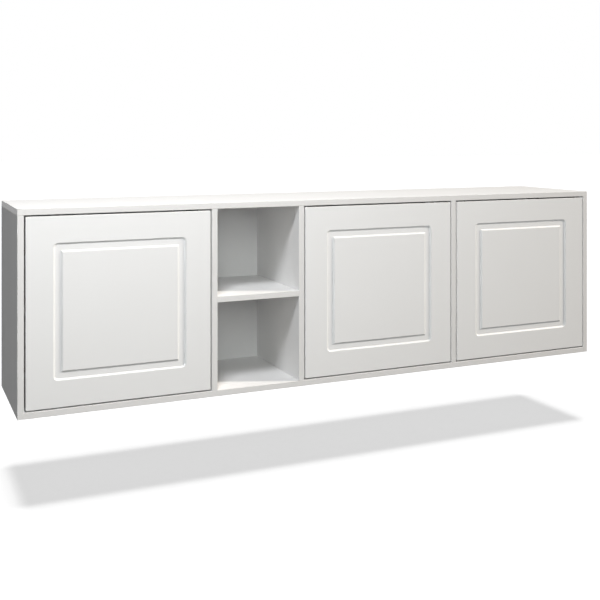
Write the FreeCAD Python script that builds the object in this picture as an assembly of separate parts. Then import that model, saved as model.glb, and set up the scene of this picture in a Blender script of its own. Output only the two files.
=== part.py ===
import FreeCAD, Part
import math
import os

Vec = FreeCAD.Vector

# A wall-hung media console: a long low cabinet with three inset doors and one open bay.
# Millimetres. The front faces -Y, +X is to the right seen from the front, +Z is up.
# The wall is the plane y = 0, and z = 0 is the line of holes in the wall rail.

# ---- driving dimensions: cabinet ----
overall_width = 1800.0
overall_height = 525.0
overall_depth = 344.0
board = 16.0                # thickness of the cabinet's boards
open_bay_width = 242.0
edge_round = 0.6            # rounding of the boards' front edges
rail_drop = 45.0            # the rail's holes below the top surface

# ---- doors ----
door_thickness = 16.0
door_gap = 4.0              # gap all round an inset door
door_edge_round = 1.5
stile = 68.0                # door edge to groove
groove_width = 24.0
groove_floor = 15.0         # flat bottom of the groove
groove_depth = 3.5

# ---- back panel ----
back_thickness = 3.0
back_recess = 18.0          # from the wall to the back panel
back_groove_depth = 8.0
back_groove_play = 0.1
back_end_play = 1.0

# ---- inner shelves ----
inner_shelf_setback = 36.0  # behind the front plane
inner_shelf_side_play = 1.0
inner_shelf_rear_play = 1.0
shelf_pin_r = 2.5
shelf_pin_reach = 9.0
shelf_pin_collar_r = 4.0
shelf_pin_collar = 1.5
pin_row_pitch = 32.0
pin_wall = 1.0              # left between two holes bored from both faces of a board
pin_front_inset = 40.0      # from the shelf's front edge
pin_rear_inset = 50.0

# ---- knock-down joints ----
cam_r = 7.5
cam_depth = 12.0
cam_setback = 24.0          # cam centre from the joint
cam_pin_r = 3.5
cam_pin_seat = 11.0
cam_slot = 2.0
dowel_r = 4.0
dowel_seat = 12.0
shelf_dowel_length = 30.0
joint_front_inset = 50.0    # front cam line from the board's front edge
joint_rear_inset = 90.0     # rear cam line from the back panel
dowel_step = 32.0           # dowel from the cam line
cam_slot_share = 0.7        # slot's length as a share of the cam's width
bore_play = 0.1

# ---- cup hinges, in the hinge's own plane ----
# u runs from the door's hinge edge into the door, v runs back from the door's back face.
hinge_inset = 95.0          # hinge centre from the door's top or bottom edge
cup_r = 17.5
cup_depth = 12.0
cup_wall = 0.8
cup_edge = 4.5              # door edge to the cup
flange_rim = 1.5            # flange beyond the cup
flange_thickness = 1.0
cup_screw_offset = 9.5      # screws from the cup's centre line
cup_screw_clear = 5.0       # screws beyond the cup's side
cup_ear_r = 6.0
arm_pivot_place = (20.0, 10.0)
cup_pivot_place = (11.0, -8.0)
inner_arm_past_cup = 1.5    # inner link's arm pivot beyond the cup's far side
inner_arm_back = 4.5
inner_cup_place = (15.1, -6.2)
pivot_r = 1.25
pivot_play = 0.05
link_arc_r = 15.2           # outer link's bend about the cup pivot
link_bar = 2.0
link_eye_r = 2.3
link_start_deg = -7.0
link_end_deg = 52.0
link_plate_inner = 5.0      # outer link plates, from the hinge's mid plane
link_plate_outer = 6.5
inner_link_half = 4.0
inner_link_bar = 3.2
arm_inner = 7.2             # arm's two ears, from the hinge's mid plane
arm_outer = 8.4
arm_metal = 1.2
arm_eye = 2.6
arm_bend = (36.5, 16.0)     # where the arm's crank starts
arm_throat = (14.0, 17.0)
arm_knee = 31.0
arm_end = 81.0
arm_top = 9.6
arm_foot = 0.5
arm_screw_places = (44.0, 68.0)
plate_front = 34.0
plate_end = 78.0
plate_half = 7.0
plate_play = 0.2
plate_floor = 1.0           # left under the arm's screws
wing_half = 26.0
wing_thickness = 2.3
wing_depth = 12.0
plate_screw_half_pitch = 16.0

# ---- screws ----
screw_r = 1.9
screw_head_r = 3.6
screw_head = 1.8
board_screw_bite = 11.0

# ---- touch latches ----
latch_width = 16.0
latch_length = 60.0
latch_height = 16.0
latch_front_gap = 5.0       # latch body behind the door
latch_side_inset = 40.0     # from the free side of the opening
latch_wing_width = 34.0
latch_wing_length = 30.0
latch_wing = 2.0
latch_screw_half_pitch = 12.0
plunger_r = 3.5
plunger_play = 0.08
plunger_length = 30.0
plunger_bore = 38.0
plunger_drop = 10.0         # plunger axis below the top panel
plunger_tip_gap = 0.3
strike_r = 6.5
strike_thickness = 1.0
strike_screw_r = 1.5
strike_screw_bite = 9.0

# ---- wall rail and hangers ----
rail_end_gap = 4.0
rail_metal = 2.0
rail_below = 20.0
rail_shelf_z = 6.0
rail_lip_out = 8.0
rail_hole_r = 4.0
rail_outer_spacing = 1440.0
rail_inner_spacing = 480.0
hanger_width = 15.0
hanger_depth = 50.0
hanger_height = 60.0
hanger_wall = 1.5
hanger_gap = 1.0            # below the top panel
hook_thickness = 4.0
hook_height = 6.0
hook_seat = 0.3             # hook above the rail's lip
hook_play = 0.2             # hook below the housing's roof
hook_wall_gap = 3.0
hook_claw = 2.5
hook_claw_clear = 6.0       # claw's end above the rail's shelf
hook_length = 40.0
hook_notch_play = 4.0
hanger_screw_r = 3.0
hanger_screw_head_gap = 2.0 # screw head inside the housing's outline
hanger_screw_head = 2.0
hanger_lock_length = 5.0
hanger_lift_length = 32.0
hanger_screw_drops = (12.0, 32.0)
hanger_fixing_drops = (34.0, 52.0)

# ---- derived planes ----
half_width = overall_width / 2
z_top = rail_drop
z_bottom = z_top - overall_height
z_roof = z_top - board
z_floor = z_bottom + board
z_middle = (z_roof + z_floor) / 2
y_front = -overall_depth
y_door_back = y_front + door_thickness
y_back_front = -(back_recess + back_thickness)
door_opening = (overall_width - open_bay_width - 5 * board) / 3
x_left = -half_width + board
x_right = half_width - board
half_board_bore = board / 2 - pin_wall

# left face of each divider
divider_x = [x_left + door_opening]
divider_x.append(divider_x[0] + board + open_bay_width)
divider_x.append(divider_x[1] + board + door_opening)

# each door bay: left side, right side, and which side carries the hinges
bays = [
    (x_left, divider_x[0], "left"),
    (divider_x[1] + board, divider_x[2], "left"),
    (divider_x[2] + board, x_right, "right"),
]


def box(x0, x1, y0, y1, z0, z1):
    return Part.makeBox(x1 - x0, y1 - y0, z1 - z0, Vec(x0, y0, z0))


def rod(start, direction, radius, length):
    return Part.makeCylinder(radius, length, Vec(*start), Vec(*direction))


def joined(shapes):
    whole = shapes[0]
    if len(shapes) > 1:
        whole = whole.multiFuse(shapes[1:])
    return whole.removeSplitter()


def cut_all(shape, tools):
    return shape.cut(Part.makeCompound(tools)) if tools else shape


def save(node, shapes):
    shape = shapes[0] if len(shapes) == 1 else Part.makeCompound(shapes)
    shape.exportStep("parts/" + node + ".step")


def edges_on(shape, wanted):
    """Straight edges whose two ends both satisfy the test."""
    found = []
    for edge in shape.Edges:
        ends = [vertex.Point for vertex in edge.Vertexes]
        if len(ends) == 2 and all(wanted(p) for p in ends):
            found.append(edge)
    return found


def near(a, b):
    return abs(a - b) < 1e-6


def round_front(shape, shortest=board + 1):
    """Rounds a board's front edges, leaving out those shorter than the given length."""
    picked = [e for e in edges_on(shape, lambda p: near(p.y, y_front)) if e.Length > shortest]
    return shape.makeFillet(edge_round, picked)


# ---- screws and pins ----
def pan_screw(start, direction, bite, radius=screw_r, head_r=screw_head_r, head=screw_head):
    """Screw whose head sits on start; direction points into the work."""
    back = [-c * head for c in direction]
    top = [start[i] + back[i] for i in range(3)]
    return joined([rod(start, direction, radius, bite), rod(top, direction, head_r, head)])


# ---- knock-down joints ----
joint_lines = [y_front + joint_front_inset, y_back_front - joint_rear_inset]
dowel_lines = [joint_lines[0] + dowel_step, joint_lines[1] - dowel_step]


def driver_slot(mouth, face):
    """Slot across a cam's face, along Y."""
    half = Vec(cam_slot / 2, cam_r * cam_slot_share, cam_slot / 2)
    half += Vec(abs(face.x), 0, abs(face.z)) * cam_slot
    low = mouth - half
    high = mouth + half
    return box(low.x, high.x, low.y, high.y, low.z, high.z)


cam_locks = []
cam_pins = []
wood_dowels = []
bores_for = {"top": [], "bottom": [], "left": [], "right": [], 0: [], 1: [], 2: []}


def bore(start, direction, radius, length):
    """Hole for a pin of this radius and length, a little larger than the pin."""
    return Part.makeCylinder(radius + bore_play, length + bore_play, start, direction)


def add_joint(board_key, mate_key, origin, up, face):
    """Cams, cam pins and dowels of one board end, with the holes for them.

    origin(y) is a point of the joint plane on the board's centre line. up points from the joint
    plane into the mating board, face points out of the side of the board that the cams open on.
    """
    up = Vec(*up)
    face = Vec(*face)
    own = bores_for[board_key]
    mate = bores_for[mate_key]
    for y in joint_lines:
        p = origin(y)
        centre = p - up * cam_setback
        mouth = centre + face * (board / 2)
        cam = Part.makeCylinder(cam_r, cam_depth, mouth, face * -1)
        throat = Part.makeCylinder(cam_pin_r + bore_play, 2 * cam_r, centre, up)
        cam_locks.append(cam.cut(driver_slot(mouth, face)).cut(throat))
        cam_pins.append(Part.makeCylinder(cam_pin_r, cam_setback + cam_pin_seat, centre, up))
        own.append(bore(mouth, face * -1, cam_r, cam_depth))
        own.append(bore(centre, up, cam_pin_r, cam_setback))
        mate.append(bore(p, up, cam_pin_r, cam_pin_seat))
    for y in dowel_lines:
        p = origin(y)
        wood_dowels.append(Part.makeCylinder(dowel_r, 2 * dowel_seat, p - up * dowel_seat, up))
        own.append(bore(p, up * -1, dowel_r, dowel_seat))
        mate.append(bore(p, up, dowel_r, dowel_seat))


uprights = [
    ("left", -half_width + board / 2, (1, 0, 0)),
    (0, divider_x[0] + board / 2, (-1, 0, 0)),
    (1, divider_x[1] + board / 2, (1, 0, 0)),
    (2, divider_x[2] + board / 2, (1, 0, 0)),
    ("right", half_width - board / 2, (-1, 0, 0)),
]
for key, x, face in uprights:
    add_joint(key, "top", lambda y, x=x: Vec(x, y, z_roof), (0, 0, 1), face)
    if key in (0, 1, 2):
        add_joint(key, "bottom", lambda y, x=x: Vec(x, y, z_floor), (0, 0, -1), face)
for key, x, up in (("left", x_left, (-1, 0, 0)), ("right", x_right, (1, 0, 0))):
    add_joint("bottom", key, lambda y, x=x: Vec(x, y, z_bottom + board / 2), up, (0, 0, -1))

# ---- open bay's fixed shelf, on dowels ----
shelf_x = (divider_x[0] + board, divider_x[1])
shelf_z = (z_middle - board / 2, z_middle + board / 2)
shelf_bores = []
for x, into, key in ((shelf_x[0], 1, 0), (shelf_x[1], -1, 1)):
    for y in dowel_lines:
        start = Vec(x - into * half_board_bore, y, z_middle)
        along = Vec(into, 0, 0)
        wood_dowels.append(Part.makeCylinder(dowel_r, shelf_dowel_length, start, along))
        face = Vec(x, y, z_middle)
        bores_for[key].append(bore(face, along * -1, dowel_r, half_board_bore))
        shelf_bores.append(bore(face, along, dowel_r, shelf_dowel_length - half_board_bore))

# ---- loose shelves and their pins ----
inner_y = (y_front + inner_shelf_setback, y_back_front - inner_shelf_rear_play)
pin_y = (inner_y[0] + pin_front_inset, inner_y[1] - pin_rear_inset)
pin_z = shelf_z[0] - shelf_pin_r
shelf_pins = []


def bay_keys(n):
    return (("left", 0), (1, 2), (2, "right"))[n]


def bay_side(n, side):
    """x of a bay's side face and the direction that points into the bay."""
    return (bays[n][0], 1) if side == 0 else (bays[n][1], -1)


for n in range(3):
    for side in (0, 1):
        x, into = bay_side(n, side)
        for y in pin_y:
            for step in (-1, 0, 1):
                z = pin_z + step * pin_row_pitch
                mouth = Vec(x, y, z)
                hole = bore(mouth, Vec(-into, 0, 0), shelf_pin_r, half_board_bore)
                bores_for[bay_keys(n)[side]].append(hole)
            start = (x - into * half_board_bore, y, pin_z)
            stem = rod(start, (into, 0, 0), shelf_pin_r, half_board_bore + shelf_pin_reach)
            collar = rod((x, y, pin_z), (into, 0, 0), shelf_pin_collar_r, shelf_pin_collar)
            collar = collar.cut(box(-half_width, half_width, y_front, 0, shelf_z[0], z_top))
            shelf_pins.append(joined([stem, collar]))

# ---- boards ----
back_groove_y = (-(back_recess + back_thickness + back_groove_play),
                 -(back_recess - back_groove_play))
back_x = (-half_width + board - back_groove_depth + back_end_play,
          half_width - board + back_groove_depth - back_end_play)
back_z = (z_floor - back_groove_depth + back_end_play, z_roof + back_groove_depth - back_end_play)
groove_x = (x_left - back_groove_depth, x_right + back_groove_depth)
groove_z = (z_floor - back_groove_depth, z_roof + back_groove_depth)


def back_groove(x0, x1, z0, z1):
    return box(x0, x1, back_groove_y[0], back_groove_y[1], z0, z1)


def make_top_panel():
    panel = round_front(box(-half_width, half_width, y_front, 0, z_roof, z_top), 0)
    groove = back_groove(groove_x[0], groove_x[1], z_roof, groove_z[1])
    return cut_all(panel, [groove] + bores_for["top"])


def make_bottom_panel():
    panel = round_front(box(x_left, x_right, y_front, 0, z_bottom, z_floor))
    groove = back_groove(x_left, x_right, groove_z[0], z_floor)
    return cut_all(panel, [groove] + bores_for["bottom"])


def make_side_panel(x0, key):
    panel = round_front(box(x0, x0 + board, y_front, 0, z_bottom, z_roof))
    inner = x0 + board if key == "left" else x0
    reach = back_groove_depth if key == "left" else -back_groove_depth
    low = min(inner, inner - reach)
    high = max(inner, inner - reach)
    groove = back_groove(low, high, groove_z[0], z_roof)
    return cut_all(panel, [groove] + bores_for[key] + screw_bores[key])


def make_divider(n):
    x0 = divider_x[n]
    panel = round_front(box(x0, x0 + board, y_front, y_back_front, z_floor, z_roof))
    return cut_all(panel, bores_for[n] + screw_bores[n])


def make_open_shelf():
    shelf = box(shelf_x[0], shelf_x[1], y_front, y_back_front, shelf_z[0], shelf_z[1])
    return cut_all(round_front(shelf), shelf_bores)


def make_inner_shelf(n):
    x0 = bays[n][0] + inner_shelf_side_play
    x1 = bays[n][1] - inner_shelf_side_play
    return box(x0, x1, inner_y[0], inner_y[1], shelf_z[0], shelf_z[1])


# ---- hinges ----
cup_u = cup_edge + cup_r
flange_r = cup_r + flange_rim
cup_screw_half_pitch = cup_r + cup_screw_clear


def hinge_point(place):
    """A place given from the door's back, as a point measured from the front plane."""
    return (place[0], door_thickness + place[1])


arm_pivot = hinge_point(arm_pivot_place)
cup_pivot = hinge_point(cup_pivot_place)
inner_arm_pivot = hinge_point((cup_u + cup_r + inner_arm_past_cup, inner_arm_back))
inner_cup_end = hinge_point(inner_cup_place)
arm_screw_lines = [door_thickness + place for place in arm_screw_places]
plate_v = (door_thickness + plate_front, door_thickness + plate_end)
plate_screw_v = plate_v[0] + wing_depth / 2
screw_bores = {"left": [], "right": [], 0: [], 1: [], 2: []}


def disc(point, radius, z0, z1):
    return Part.makeCylinder(radius, z1 - z0, Vec(point[0], point[1], z0))


def prism(points, z0, z1):
    corners = [Vec(u, v, z0) for u, v in points]
    wire = Part.makePolygon(corners + corners[:1])
    return Part.Face(wire).extrude(Vec(0, 0, z1 - z0))


def link_bar_between(p, q, width, z0, z1):
    """Flat bar between two points of the hinge plane, with round ends."""
    du = q[0] - p[0]
    dv = q[1] - p[1]
    length = math.hypot(du, dv)
    nu = -dv / length * width / 2
    nv = du / length * width / 2
    sides = [(p[0] + nu, p[1] + nv), (p[0] - nu, p[1] - nv),
             (q[0] - nu, q[1] - nv), (q[0] + nu, q[1] + nv)]
    return joined([prism(sides, z0, z1), disc(p, width / 2, z0, z1), disc(q, width / 2, z0, z1)])


def around_cup_pivot(angle_deg, radius):
    angle = math.radians(angle_deg)
    return (cup_pivot[0] + radius * math.cos(angle), cup_pivot[1] + radius * math.sin(angle))


def outer_link_plate(z0, z1):
    """Goose-neck plate: it bends round the edge of the door when the door is open."""
    ring = disc(cup_pivot, link_arc_r + link_bar / 2, z0, z1)
    ring = ring.cut(disc(cup_pivot, link_arc_r - link_bar / 2, z0, z1))
    far = 2 * link_arc_r
    middle = (link_start_deg + link_end_deg) / 2
    wedge = prism([cup_pivot, around_cup_pivot(link_start_deg, far), around_cup_pivot(middle, far),
                   around_cup_pivot(link_end_deg, far)], z0, z1)
    bend = ring.common(wedge)
    start = around_cup_pivot(link_start_deg, link_arc_r)
    end = around_cup_pivot(link_end_deg, link_arc_r)
    plate = joined([
        bend,
        link_bar_between(cup_pivot, start, link_bar, z0, z1),
        link_bar_between(end, arm_pivot, link_bar, z0, z1),
        disc(cup_pivot, link_eye_r, z0, z1),
        disc(arm_pivot, link_eye_r, z0, z1),
    ])
    holes = [disc(p, pivot_r + pivot_play, z0, z1) for p in (cup_pivot, arm_pivot)]
    return cut_all(plate, holes)


def inner_link():
    z0 = -inner_link_half
    z1 = inner_link_half
    link = joined([
        link_bar_between(inner_arm_pivot, inner_cup_end, inner_link_bar, z0, z1),
        disc(inner_arm_pivot, link_eye_r, z0, z1),
    ])
    return link.cut(disc(inner_arm_pivot, pivot_r + pivot_play, z0, z1))


def cup_tool(radius, depth):
    """Solid drum standing in the door's back, in hinge coordinates."""
    return Part.makeCylinder(radius, depth, Vec(cup_u, door_thickness, 0), Vec(0, -1, 0))


def cup_screw_points():
    return [(cup_u + cup_screw_offset, side * cup_screw_half_pitch) for side in (-1, 1)]


def hinge_cup():
    shell = cup_tool(cup_r, cup_depth)
    back = Vec(0, 1, 0)
    at = Vec(cup_u, door_thickness, 0)
    flange = [Part.makeCylinder(flange_r, flange_thickness, at, back)]
    ear_u = cup_u + cup_screw_offset
    flange.append(box(ear_u - cup_ear_r, ear_u + cup_ear_r, door_thickness,
                      door_thickness + flange_thickness,
                      -cup_screw_half_pitch, cup_screw_half_pitch))
    for u, z in cup_screw_points():
        flange.append(Part.makeCylinder(cup_ear_r, flange_thickness, Vec(u, door_thickness, z), back))
    body = joined([shell] + flange)
    hollow = Part.makeCylinder(cup_r - cup_wall, cup_depth - cup_wall + flange_thickness,
                               Vec(cup_u, door_thickness + flange_thickness, 0), Vec(0, -1, 0))
    holes = [hollow]
    for u, z in cup_screw_points():
        holes.append(Part.makeCylinder(screw_r + bore_play, flange_thickness,
                                       Vec(u, door_thickness, z), back))
    holes.append(disc(cup_pivot, pivot_r + pivot_play, -cup_r, cup_r))
    return cut_all(body, holes)


def cup_pins():
    """Two short pivots in the cup's side walls, one for each outer link plate."""
    offset = abs(cup_u - cup_pivot[0])
    wall = math.sqrt(cup_r ** 2 - (offset + pivot_r) ** 2)
    inner = link_plate_inner - pivot_play
    return [disc(cup_pivot, pivot_r, inner, wall), disc(cup_pivot, pivot_r, -wall, -inner)]


def cup_screws():
    head_at = door_thickness + flange_thickness
    return [pan_screw((u, head_at, z), (0, -1, 0), board_screw_bite) for u, z in cup_screw_points()]


def hinge_arm():
    bend = hinge_point(arm_bend)
    knee = hinge_point((arm_top, arm_knee))
    tail = hinge_point((arm_top, arm_end))
    ear = [
        (arm_pivot[0] - arm_eye, arm_pivot[1]),
        (arm_pivot[0], arm_pivot[1] - arm_eye),
        (inner_arm_pivot[0], inner_arm_pivot[1] - arm_eye),
        (inner_arm_pivot[0] + arm_eye, inner_arm_pivot[1]),
        (inner_arm_pivot[0] + arm_eye, inner_arm_pivot[1] + arm_eye),
        bend, knee, tail,
        (arm_foot, tail[1]), (arm_foot, knee[1]),
        hinge_point(arm_throat),
    ]
    web = [
        bend, knee, tail,
        (arm_top - arm_metal, tail[1]), (arm_top - arm_metal, knee[1] - arm_metal / 2),
        (bend[0] - arm_metal / 2, bend[1] - arm_metal),
    ]
    arm = joined([
        prism(ear, arm_inner, arm_outer),
        prism(ear, -arm_outer, -arm_inner),
        prism(web, -arm_outer, arm_outer),
    ])
    holes = [disc(p, pivot_r + pivot_play, -arm_outer, arm_outer)
             for p in (arm_pivot, inner_arm_pivot)]
    for v in arm_screw_lines:
        holes.append(rod((arm_top, v, 0), (-1, 0, 0), screw_r + bore_play, arm_metal))
    return cut_all(arm, holes)


def arm_pins():
    return [disc(p, pivot_r, -arm_outer, arm_outer) for p in (arm_pivot, inner_arm_pivot)]


def plate_screw_points(u):
    return [(u, plate_screw_v, side * plate_screw_half_pitch) for side in (-1, 1)]


def mounting_plate():
    block_top = arm_top - arm_metal - plate_play
    wing_top = wing_thickness - door_gap
    block = box(-door_gap, block_top, plate_v[0], plate_v[1], -plate_half, plate_half)
    wing = box(-door_gap, wing_top, plate_v[0], plate_v[0] + wing_depth, -wing_half, wing_half)
    holes = []
    for at in plate_screw_points(wing_top):
        holes.append(rod(at, (-1, 0, 0), screw_r + bore_play, wing_thickness))
    for v in arm_screw_lines:
        holes.append(rod((block_top, v, 0), (-1, 0, 0), screw_r + bore_play,
                         block_top + door_gap - plate_floor))
    return cut_all(joined([block, wing]), holes)


def plate_screws():
    return [pan_screw(at, (-1, 0, 0), wing_thickness + board_screw_bite)
            for at in plate_screw_points(wing_thickness - door_gap)]


def plate_screw_bores():
    return [rod(at, (-1, 0, 0), screw_r + bore_play, board_screw_bite + bore_play)
            for at in plate_screw_points(-door_gap)]


def arm_screws():
    length = arm_top + door_gap - 2 * plate_floor
    return [pan_screw((arm_top, v, 0), (-1, 0, 0), length) for v in arm_screw_lines]


def placed(shape, n, z):
    """Carries a shape from hinge coordinates to door n, at height z."""
    left, right, hand = bays[n]
    copy = shape.copy()
    if hand == "left":
        copy.translate(Vec(left + door_gap, y_front, z))
        return copy
    copy = copy.mirror(Vec(0, 0, 0), Vec(1, 0, 0))
    copy.translate(Vec(right - door_gap, y_front, z))
    return copy


def hinge_heights():
    return [z_roof - door_gap - hinge_inset, z_floor + door_gap + hinge_inset]


def at_hinges(shapes, n):
    return [placed(s, n, z) for z in hinge_heights() for s in shapes]


def hinge_board(n):
    return bay_keys(n)[0 if bays[n][2] == "left" else 1]


for n in range(3):
    screw_bores[hinge_board(n)].extend(at_hinges(plate_screw_bores(), n))

# ---- touch latches ----
latch_y = y_door_back + latch_front_gap
plunger_z = z_roof - plunger_drop


def latch_x(n):
    left, right, hand = bays[n]
    return right - latch_side_inset if hand == "left" else left + latch_side_inset


def plunger_tip():
    return y_door_back + strike_thickness + plunger_tip_gap


def latch_housing(n):
    x = latch_x(n)
    body = box(x - latch_width / 2, x + latch_width / 2, latch_y, latch_y + latch_length,
               z_roof - latch_height, z_roof)
    wing = box(x - latch_wing_width / 2, x + latch_wing_width / 2,
               latch_y + latch_wing_length / 2, latch_y + 1.5 * latch_wing_length,
               z_roof - latch_wing, z_roof)
    holes = [rod((x, latch_y, plunger_z), (0, 1, 0), plunger_r + plunger_play, plunger_bore)]
    for px, py in latch_screw_points(n):
        holes.append(rod((px, py, z_roof - latch_wing), (0, 0, 1), screw_r + bore_play, latch_wing))
    return cut_all(joined([body, wing]), holes)


def latch_screw_points(n):
    y = latch_y + latch_wing_length
    return [(latch_x(n) + side * latch_screw_half_pitch, y) for side in (-1, 1)]


def latch_screws(n):
    z = z_roof - latch_wing
    return [pan_screw((px, py, z), (0, 0, 1), latch_wing + board_screw_bite)
            for px, py in latch_screw_points(n)]


def latch_plunger(n):
    return rod((latch_x(n), plunger_tip(), plunger_z), (0, 1, 0), plunger_r, plunger_length)


def strike_plate(n):
    x = latch_x(n)
    plate = rod((x, y_door_back, plunger_z), (0, 1, 0), strike_r, strike_thickness)
    return plate.cut(rod((x, y_door_back, plunger_z), (0, 1, 0),
                         strike_screw_r + bore_play, strike_thickness))


def strike_screw(n):
    y = y_door_back + strike_thickness
    return rod((latch_x(n), y, plunger_z), (0, -1, 0), strike_screw_r,
               strike_thickness + strike_screw_bite)


def strike_bore(n):
    return rod((latch_x(n), y_door_back, plunger_z), (0, -1, 0), strike_screw_r + bore_play,
               strike_screw_bite + bore_play)


for n in range(3):
    for px, py in latch_screw_points(n):
        bores_for["top"].append(rod((px, py, z_roof), (0, 0, 1), screw_r + bore_play,
                                    board_screw_bite + bore_play))


# ---- doors ----
def groove_cutter(x0, x1, z0, z1):
    """Square ring cut by a round cutter: sloped sides, round outer and sharp inner corners."""
    half_top = groove_width / 2
    half_floor = groove_floor / 2
    y_floor = y_front + groove_depth
    tools = []
    for x in (x0, x1):
        for z in (z0, z1):
            tools.append(Part.makeCone(half_top, half_floor, groove_depth, Vec(x, y_front, z),
                                       Vec(0, 1, 0)))
    section = [(-half_top, y_front), (half_top, y_front), (half_floor, y_floor),
               (-half_floor, y_floor)]
    for z in (z0, z1):
        corners = [Vec(x0, y, z + s) for s, y in section]
        face = Part.Face(Part.makePolygon(corners + corners[:1]))
        tools.append(face.extrude(Vec(x1 - x0, 0, 0)))
    for x in (x0, x1):
        corners = [Vec(x + s, y, z0) for s, y in section]
        face = Part.Face(Part.makePolygon(corners + corners[:1]))
        tools.append(face.extrude(Vec(0, 0, z1 - z0)))
    return tools


def make_door(n):
    x0 = bays[n][0] + door_gap
    x1 = bays[n][1] - door_gap
    z0 = z_floor + door_gap
    z1 = z_roof - door_gap
    slab = box(x0, x1, y_front, y_door_back, z0, z1)
    slab = slab.makeFillet(door_edge_round, edges_on(slab, lambda p: near(p.y, y_front)))
    inset = stile + groove_width / 2
    for tool in groove_cutter(x0 + inset, x1 - inset, z0 + inset, z1 - inset):
        slab = slab.cut(tool)
    pocket = [cup_tool(cup_r + bore_play, cup_depth + bore_play)]
    for u, z in cup_screw_points():
        pocket.append(rod((u, door_thickness, z), (0, -1, 0), screw_r + bore_play,
                          board_screw_bite - flange_thickness + bore_play))
    return cut_all(slab, at_hinges(pocket, n) + [strike_bore(n)])


# ---- wall rail and hangers ----
# Each housing hangs from its hook, and each hook hangs over the rail's lip.
hanger_top = z_roof - hanger_gap
hanger_y = (y_back_front - hanger_depth, y_back_front)
hook_top = hanger_top - hanger_wall - hook_play
hook_bottom = hook_top - hook_height
hook_claw_bottom = rail_shelf_z + hook_claw_clear
rail_lip_z = hook_bottom - hook_seat
rail_half = x_right - rail_end_gap


def make_wall_rail():
    plate = box(-rail_half, rail_half, -rail_metal, 0, -rail_below, rail_shelf_z)
    web = box(-rail_half, rail_half, -rail_lip_out, 0, rail_shelf_z - rail_metal, rail_shelf_z)
    lip = box(-rail_half, rail_half, -rail_lip_out, -rail_lip_out + rail_metal,
              rail_shelf_z - rail_metal, rail_lip_z)
    holes = []
    for spacing in (rail_outer_spacing, rail_inner_spacing):
        for side in (-1, 1):
            holes.append(rod((side * spacing / 2, -rail_metal, 0), (0, 1, 0), rail_hole_r,
                             rail_metal))
    return cut_all(joined([plate, web, lip]), holes)


# x of the board face that each hanger is screwed to, the direction into the bay, and the board
hanger_places = [
    (x_left, 1, "left"),
    (divider_x[0], -1, 0),
    (divider_x[2] + board, 1, 2),
    (x_right, -1, "right"),
]


def span(a, b):
    return (min(a, b), max(a, b))


def hook_span(x, into):
    middle = x + into * hanger_width / 2
    return (middle - hook_thickness / 2, middle + hook_thickness / 2)


def hanger_housing(x, into):
    x0, x1 = span(x, x + into * hanger_width)
    shell = box(x0, x1, hanger_y[0], hanger_y[1], hanger_top - hanger_height, hanger_top)
    room = box(x0 + hanger_wall, x1 - hanger_wall, hanger_y[0] + hanger_wall, hanger_y[1],
               hanger_top - hanger_height + hanger_wall, hanger_top - hanger_wall)
    holes = [room]
    middle = x + into * hanger_width / 2
    for drop in hanger_screw_drops:
        holes.append(rod((middle, hanger_y[0], hanger_top - drop), (0, 1, 0),
                         hanger_screw_r + bore_play, hanger_wall))
    for py, pz in hanger_fixing_points():
        holes.append(rod((x, py, pz), (into, 0, 0), screw_r + bore_play, hanger_wall))
    return cut_all(shell, holes)


def hanger_fixing_points():
    y = (hanger_y[0] + hanger_y[1]) / 2
    return [(y, hanger_top - drop) for drop in hanger_fixing_drops]


def hanger_hook(x, into):
    x0, x1 = hook_span(x, into)
    bar = box(x0, x1, y_back_front - hook_length, -hook_wall_gap, hook_bottom, hook_top)
    claw = box(x0, x1, -hook_wall_gap - hook_claw, -hook_wall_gap, hook_claw_bottom, hook_top)
    return joined([bar, claw])


def hanger_screws(x, into):
    middle = x + into * hanger_width / 2
    screws = []
    head_r = hanger_width / 2 - hanger_screw_head_gap
    for drop, length in zip(hanger_screw_drops, (hanger_lock_length, hanger_lift_length)):
        at = (middle, hanger_y[0], hanger_top - drop)
        screws.append(pan_screw(at, (0, 1, 0), length, hanger_screw_r, head_r, hanger_screw_head))
    return screws


def hanger_fixings(x, into):
    return [pan_screw((x + into * hanger_wall, py, pz), (-into, 0, 0),
                      hanger_wall + board_screw_bite) for py, pz in hanger_fixing_points()]


def hanger_notch(x, into):
    x0, x1 = hook_span(x, into)
    return box(x0 - hook_notch_play, x1 + hook_notch_play, y_back_front - 1, -back_recess + 1,
               hook_claw_bottom - hook_notch_play / 2, hook_top + hook_notch_play / 2)


for x, into, key in hanger_places:
    for py, pz in hanger_fixing_points():
        screw_bores[key].append(rod((x, py, pz), (-into, 0, 0), screw_r + bore_play,
                                    board_screw_bite + bore_play))


def make_back_panel():
    panel = box(back_x[0], back_x[1], y_back_front, -back_recess, back_z[0], back_z[1])
    return cut_all(panel, [hanger_notch(x, into) for x, into, key in hanger_places])


# ---- write every piece ----
os.makedirs("parts", exist_ok=True)

save("top_panel", [make_top_panel()])
save("bottom_panel", [make_bottom_panel()])
save("left_side_panel", [make_side_panel(-half_width, "left")])
save("right_side_panel", [make_side_panel(x_right, "right")])
for n in range(3):
    save("divider_%d" % (n + 1), [make_divider(n)])
save("open_bay_shelf", [make_open_shelf()])
for n in range(3):
    save("inner_shelf_%d" % (n + 1), [make_inner_shelf(n)])
save("back_panel", [make_back_panel()])
save("shelf_pins", shelf_pins)
save("cam_locks", cam_locks)
save("cam_pins", cam_pins)
save("wood_dowels", wood_dowels)

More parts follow.
